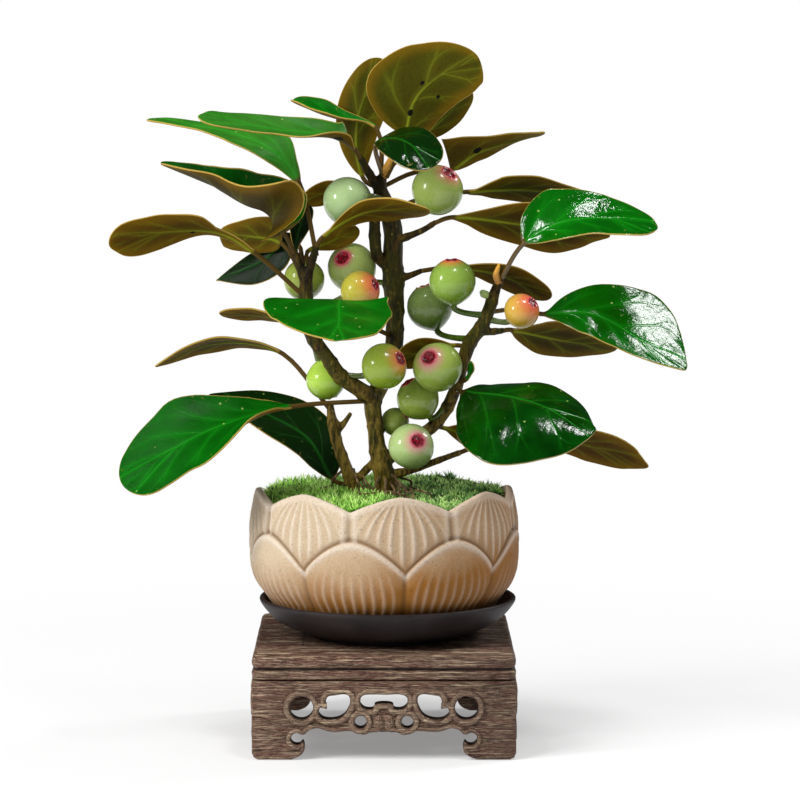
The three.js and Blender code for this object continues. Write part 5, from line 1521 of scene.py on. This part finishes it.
def make_stage(look):
    """A pale floor that fades into the backdrop, soft boxes, and the camera of the photo."""
    finish = Finish("floor")
    tree = finish.tree
    x, y, _ = finish.parts(finish.place)
    reach = (x * x + y * y).square_root()
    fade = reach.rise(0.035, 0.12) * 0.45 + reach.rise(0.08, 0.5) * 0.3 + 0.25
    finish.done(look.floor, 0.6, Specular_IOR_Level=0.2)
    glow = add_node(tree, "Emission", {"Color": look.backdrop})
    blend = add_node(tree, "MixShader", {0: fade, 1: Value(tree, finish.shader.outputs[0]),
                                         2: glow})
    feed(tree, tree.nodes["Material Output"].inputs[0], blend)
    points, faces = floor_surface()
    surface("floor", points, faces, ["floor"])

    world = bpy.data.worlds.new("studio")
    world.use_nodes = True
    tree = world.node_tree
    back = tree.nodes["Background"]
    feed(tree, back.inputs[0], look.backdrop)
    rays = tree.nodes.new("ShaderNodeLightPath")
    seen = Value(tree, rays.outputs["Is Camera Ray"])
    mirrored = Value(tree, rays.outputs["Is Glossy Ray"])
    feed(tree, back.inputs[1],
         seen * (1 - look.ambient) + mirrored * (look.ambient * -0.85) + look.ambient)
    bpy.context.scene.world = world

    centre = AXIS + (0, 0, 0.16)
    for name, spot, size, power in (
            ("key", (-0.85, -0.75, 0.85), (0.6, 0.6), look.key),
            ("window", (-1.0, -0.54, 0.4), (0.2, 0.3), look.window),
            ("side", (0.85, 0.42, 0.6), (0.28, 0.34), look.side),
            ("top", (0.26, -0.42, 1.05), (0.16, 0.28), look.top),
            ("sky", (-0.36, -0.42, 1.0), (0.07, 0.09), look.sky),
            ("fill", (-0.2, -1.3, 0.35), (0.9, 0.9), look.fill)):
        light = bpy.data.lights.new(name, "AREA")
        light.shape = "RECTANGLE"
        light.size, light.size_y = size
        light.energy = power
        lamp = linked(name, light)
        lamp.location = centre + spot
        lamp.rotation_euler = turn_towards(-np.array(spot))
        lamp.visible_glossy = name in ("window", "side", "top", "sky")

    lens = bpy.data.cameras.new("photo")
    lens.lens, lens.sensor_width, lens.shift_x = PHOTO_FOCAL, SENSOR, PHOTO_SHIFT
    camera = linked("photo", lens)
    camera.location = AXIS + (0, -PHOTO_DISTANCE, PHOTO_HEIGHT)
    camera.rotation_euler = (math.radians(90 - PHOTO_TILT), 0, 0)
    bpy.context.scene.camera = camera
    bpy.context.scene.view_settings.view_transform = "Standard"


def turn_towards(way):
    """The turn that points a lamp's own -Z along a direction."""
    x, y, z = unit(way)
    return (math.acos(-z), 0, math.atan2(-x, y))


# Add-on

def size(name, description, default, low, high):
    return FloatProperty(name=name, description=description, default=default * MM, min=low * MM,
                         max=high * MM, unit="LENGTH", precision=5)


def paint(name, description, code):
    return FloatVectorProperty(name=name, description=description, default=colour_of(code),
                               size=3, min=0, max=1, subtype="COLOR")


def number(name, description, default, low, high):
    return IntProperty(name=name, description=description, default=default, min=low, max=high)


def amount(name, description, default):
    return FloatProperty(name=name, description=description, default=default, min=0, max=5000)


class BONSAI_PG_leaves(bpy.types.PropertyGroup):
    thickness: size("Blade thickness", "Thickness of a leaf blade", 0.8, 0.4, 1.5)
    stalk_radius: size("Stalk radius", "Radius of a leaf stalk", 0.95, 0.4, 2)
    upper_dark: paint("Upper side, dark", "Darkest green of the upper side", "#002a00")
    upper_bright: paint("Upper side, bright", "Brightest green of the upper side", "#057407")
    # Painted light on the brightest leaves, whose brightness is above 0.7
    upper_light: paint("Upper side, light", "Upper side that faces the light", "#8cb858")
    upper_vein: paint("Upper veins", "Veins of the upper side", "#1f9a1c")
    dot: paint("Dots", "Small pale dots on the upper side", "#a9c46a")
    margin: paint("Margin", "Thin line round the blade", "#b99a4c")
    under_green: paint("Underside, green", "Underside of a young leaf", "#383c02")
    under_brown: paint("Underside, brown", "Underside of an old leaf", "#4a3002")
    # Also painted shade on the undersides of leaves below 0.5 in brightness
    under_dark: paint("Underside, dark", "Dark flecks of the underside", "#1f1702")
    under_gold: paint("Underside, gold", "Underside towards the margin", "#836008")
    under_vein: paint("Underside veins", "Veins of the underside", "#838f1c")
    # Also painted shade on the upper sides of leaves below 0 in brightness
    gland: paint("Glands", "Wax glands where veins fork", "#0d0c05")
    stalk: paint("Stalk", "Leaf stalk", "#6b5426")
    stalk_dark: paint("Stalk, dark", "Dark stripes of a leaf stalk", "#33240e")


class BONSAI_PG_figs(bpy.types.PropertyGroup):
    stalk_radius: size("Stalk radius", "Radius of a fig stalk", 1.1, 0.5, 3)
    stalk: paint("Stalk", "Fig stalk", "#28340a")
    # Pale and deep skin are partly the skin's own colours and partly painted light and shade; the
    # pale one also colours the fine specks
    pale: paint("Pale skin", "Skin towards the light", "#d2e296")
    deep: paint("Deep skin", "Skin away from the light", "#3f5c02")
    ring: paint("Ring", "Ring round the eye", "#c9405a")
    eye: paint("Eye", "Scales of the eye", "#a3122a")
    eye_dark: paint("Eye, dark", "Gaps between the scales", "#4a0612")


class BONSAI_PG_bark(bpy.types.PropertyGroup):
    detail: size("Detail", "Size of the smallest form on the stems", 0.5, 0.3, 2)
    bark: paint("Bark", "Bark", "#54400e")
    bark_dark: paint("Bark, dark", "Dark bark", "#140d03")
    bark_green: paint("Bark, green", "Green patches on thick stems", "#383a04")
    bark_pale: paint("Bark, pale", "Pale cracks and pores", "#8c7430")
    bud_base: paint("Bud base", "Lower scales of a bud", "#8a5a1c")
    bud_tip: paint("Bud tip", "Tip of a bud", "#e0a63c")
    bud_green: paint("Green bud", "Small round bud", "#93a860")
    root: paint("Root", "Thin aerial roots", "#8d7350")
    root_dark: paint("Root, dark", "Dark side of thin roots", "#42301c")


class BONSAI_PG_moss(bpy.types.PropertyGroup):
    stars: number("Stars", "Number of moss stars", 700, 100, 4000)
    leaflets: number("Leaflets", "Leaflets of each star", 22, 5, 24)
    star_length: size("Leaflet length", "Length of a bright leaflet", 5.6, 1, 9)
    # The moss's dark feet and cushion are partly painted shade and its light tips partly painted
    # highlight
    moss_bright: paint("Bright moss", "Leaflets of the bright moss", "#a4ff44")
    moss_shade: paint("Moss shade", "Foot of the bright moss", "#0c2606")
    moss_dull: paint("Dull moss", "Leaflets of the dark moss", "#74c852")
    moss_deep: paint("Deep moss", "Foot of the dark moss", "#12280c")
    moss_tip: paint("Moss tip", "Light tips", "#e2ff9c")
    moss_ground: paint("Moss ground", "Cushion under the stars", "#0e1c08")
    soil: paint("Soil", "Potting soil", "#4a3726")
    soil_dark: paint("Soil, dark", "Damp soil", "#1d140d")
    soil_pale: paint("Soil, pale", "Crumbs of stone", "#8a7a66")


class BONSAI_PG_pot(bpy.types.PropertyGroup):
    ribs: number("Ribs", "Ribs on each petal", 9, 2, 16)
    rib_height: size("Rib height", "How far the ribs stand up", 0.55, 0, 1.5)
    petal_relief: size("Petal relief", "How far the lower petals stand up", 0.8, 0.2, 3)
    stoneware: paint("Stoneware", "Sandy body", "#cbb79a")
    stoneware_pale: paint("Stoneware, pale", "Raised edges and ribs", "#ece0d2")
    # Also painted shade that warms the pot towards the right
    stoneware_warm: paint("Stoneware, warm", "Warmer body low down", "#965f10")
    # Painted shade in the hollows and low at the right, and the sand's darker grains
    stoneware_dark: paint("Stoneware, dark", "Hollows", "#664420")
    grain: paint("Grain", "Dark grains", "#5d4630")


class BONSAI_PG_saucer(bpy.types.PropertyGroup):
    clay: paint("Clay", "Dark clay", "#312a2a")
    clay_dark: paint("Clay, dark", "Darker patches", "#1f1a1b")
    clay_dust: paint("Dust", "Dusty scuffs", "#4d4644")


class BONSAI_PG_stand(bpy.types.PropertyGroup):
    moulding: size("Moulding", "Radius of the mouldings round the holes", 1.25, 0.3, 2)
    fibres: amount("Fibres", "Wood fibres per metre across the grain", 2900)
    wood: paint("Wood", "Light fibres", "#775341")
    # Also painted shade towards the right
    wood_dark: paint("Wood, dark", "Dark fibres", "#33221a")
    wood_red: paint("Wood, red", "Reddish patches", "#63352e")
    wood_pale: paint("Wood, pale", "Dusty streaks", "#d2bb9c")
    # Also painted shade inside carved holes and grooves
    wood_pore_and_shade: paint("Pores", "Open pores", "#170e0b")


class BONSAI_PG_stage(bpy.types.PropertyGroup):
    floor: paint("Floor", "Pale floor", "#f4f4f4")
    backdrop: paint("Backdrop", "Pale backdrop", "#ffffff")
    ambient: FloatProperty(name="Ambient", description="Light from all sides", default=0.22,
                           min=0, max=3)
    key: amount("Key light", "Soft box at the left", 14)
    window: amount("Window light", "Small box low at the left", 5)
    side: amount("Side light", "Soft box at the right and behind", 5)
    top: amount("Top light", "Soft box above, at the right", 3.6)
    sky: amount("Sky light", "Small box high at the left", 1.3)
    fill: amount("Fill light", "Soft box in front", 1.5)


class BONSAI_OT_leaves(bpy.types.Operator):
    """Builds the leaves, with their stalks, in place of the plain ones"""
    bl_idname = "bonsai.leaves"
    bl_label = "Leaves"

    def execute(self, context):
        make_leaves(context.scene.bonsai_leaves)
        return {"FINISHED"}


class BONSAI_OT_figs(bpy.types.Operator):
    """Builds the figs, with their eyes and stalks"""
    bl_idname = "bonsai.figs"
    bl_label = "Figs"

    def execute(self, context):
        make_figs(context.scene.bonsai_figs)
        return {"FINISHED"}


class BONSAI_OT_stems(bpy.types.Operator):
    """Builds the trunk, branches, buds, cut stub and aerial roots"""
    bl_idname = "bonsai.stems"
    bl_label = "Stems"

    def execute(self, context):
        make_stems(context.scene.bonsai_bark)
        return {"FINISHED"}


class BONSAI_OT_moss(bpy.types.Operator):
    """Builds the moss and gives the soil its finish"""
    bl_idname = "bonsai.moss"
    bl_label = "Moss"

    def execute(self, context):
        make_moss(context.scene.bonsai_moss)
        return {"FINISHED"}


class BONSAI_OT_pot(bpy.types.Operator):
    """Builds the lotus pot"""
    bl_idname = "bonsai.pot"
    bl_label = "Pot"

    def execute(self, context):
        make_pot(context.scene.bonsai_pot)
        return {"FINISHED"}


class BONSAI_OT_saucer(bpy.types.Operator):
    """Builds the saucer"""
    bl_idname = "bonsai.saucer"
    bl_label = "Saucer"

    def execute(self, context):
        make_saucer(context.scene.bonsai_saucer)
        return {"FINISHED"}


class BONSAI_OT_stand(bpy.types.Operator):
    """Builds the stand's board and its four carved panels"""
    bl_idname = "bonsai.stand"
    bl_label = "Stand"

    def execute(self, context):
        make_stand(context.scene.bonsai_stand)
        return {"FINISHED"}


class BONSAI_OT_stage(bpy.types.Operator):
    """Sets up the floor, the backdrop, the lights and the camera"""
    bl_idname = "bonsai.stage"
    bl_label = "Stage"

    def execute(self, context):
        make_stage(context.scene.bonsai_stage)
        return {"FINISHED"}


GROUPS = {"bonsai_leaves": BONSAI_PG_leaves, "bonsai_figs": BONSAI_PG_figs,
          "bonsai_bark": BONSAI_PG_bark, "bonsai_moss": BONSAI_PG_moss,
          "bonsai_pot": BONSAI_PG_pot, "bonsai_saucer": BONSAI_PG_saucer,
          "bonsai_stand": BONSAI_PG_stand, "bonsai_stage": BONSAI_PG_stage}
STEPS = (("stage", "bonsai_stage"), ("stand", "bonsai_stand"), ("saucer", "bonsai_saucer"),
         ("pot", "bonsai_pot"), ("moss", "bonsai_moss"), ("stems", "bonsai_bark"),
         ("leaves", "bonsai_leaves"), ("figs", "bonsai_figs"))


class BONSAI_PT_parts(bpy.types.Panel):
    """Lists the steps with their sizes and colours"""
    bl_idname = "BONSAI_PT_parts"
    bl_label = "Fig bonsai"
    bl_space_type = "VIEW_3D"
    bl_region_type = "UI"
    bl_category = "Bonsai"

    def draw(self, context):
        for step, group in STEPS:
            box = self.layout.box()
            box.operator(f"bonsai.{step}")
            for prop in GROUPS[group].__annotations__:
                box.prop(getattr(context.scene, group), prop)


CLASSES = (*GROUPS.values(), BONSAI_OT_stage, BONSAI_OT_stand, BONSAI_OT_saucer, BONSAI_OT_pot,
           BONSAI_OT_moss, BONSAI_OT_stems, BONSAI_OT_leaves, BONSAI_OT_figs, BONSAI_PT_parts)


def register():
    for part in CLASSES:
        bpy.utils.register_class(part)
    for name, group in GROUPS.items():
        setattr(bpy.types.Scene, name, PointerProperty(type=group))


def unregister():
    for name in GROUPS:
        delattr(bpy.types.Scene, name)
    for part in reversed(CLASSES):
        bpy.utils.unregister_class(part)


def main():
    register()
    for step, _ in STEPS:
        getattr(bpy.ops.bonsai, step)()
    bpy.context.view_layer.update()


if __name__ == "__main__":
    main()
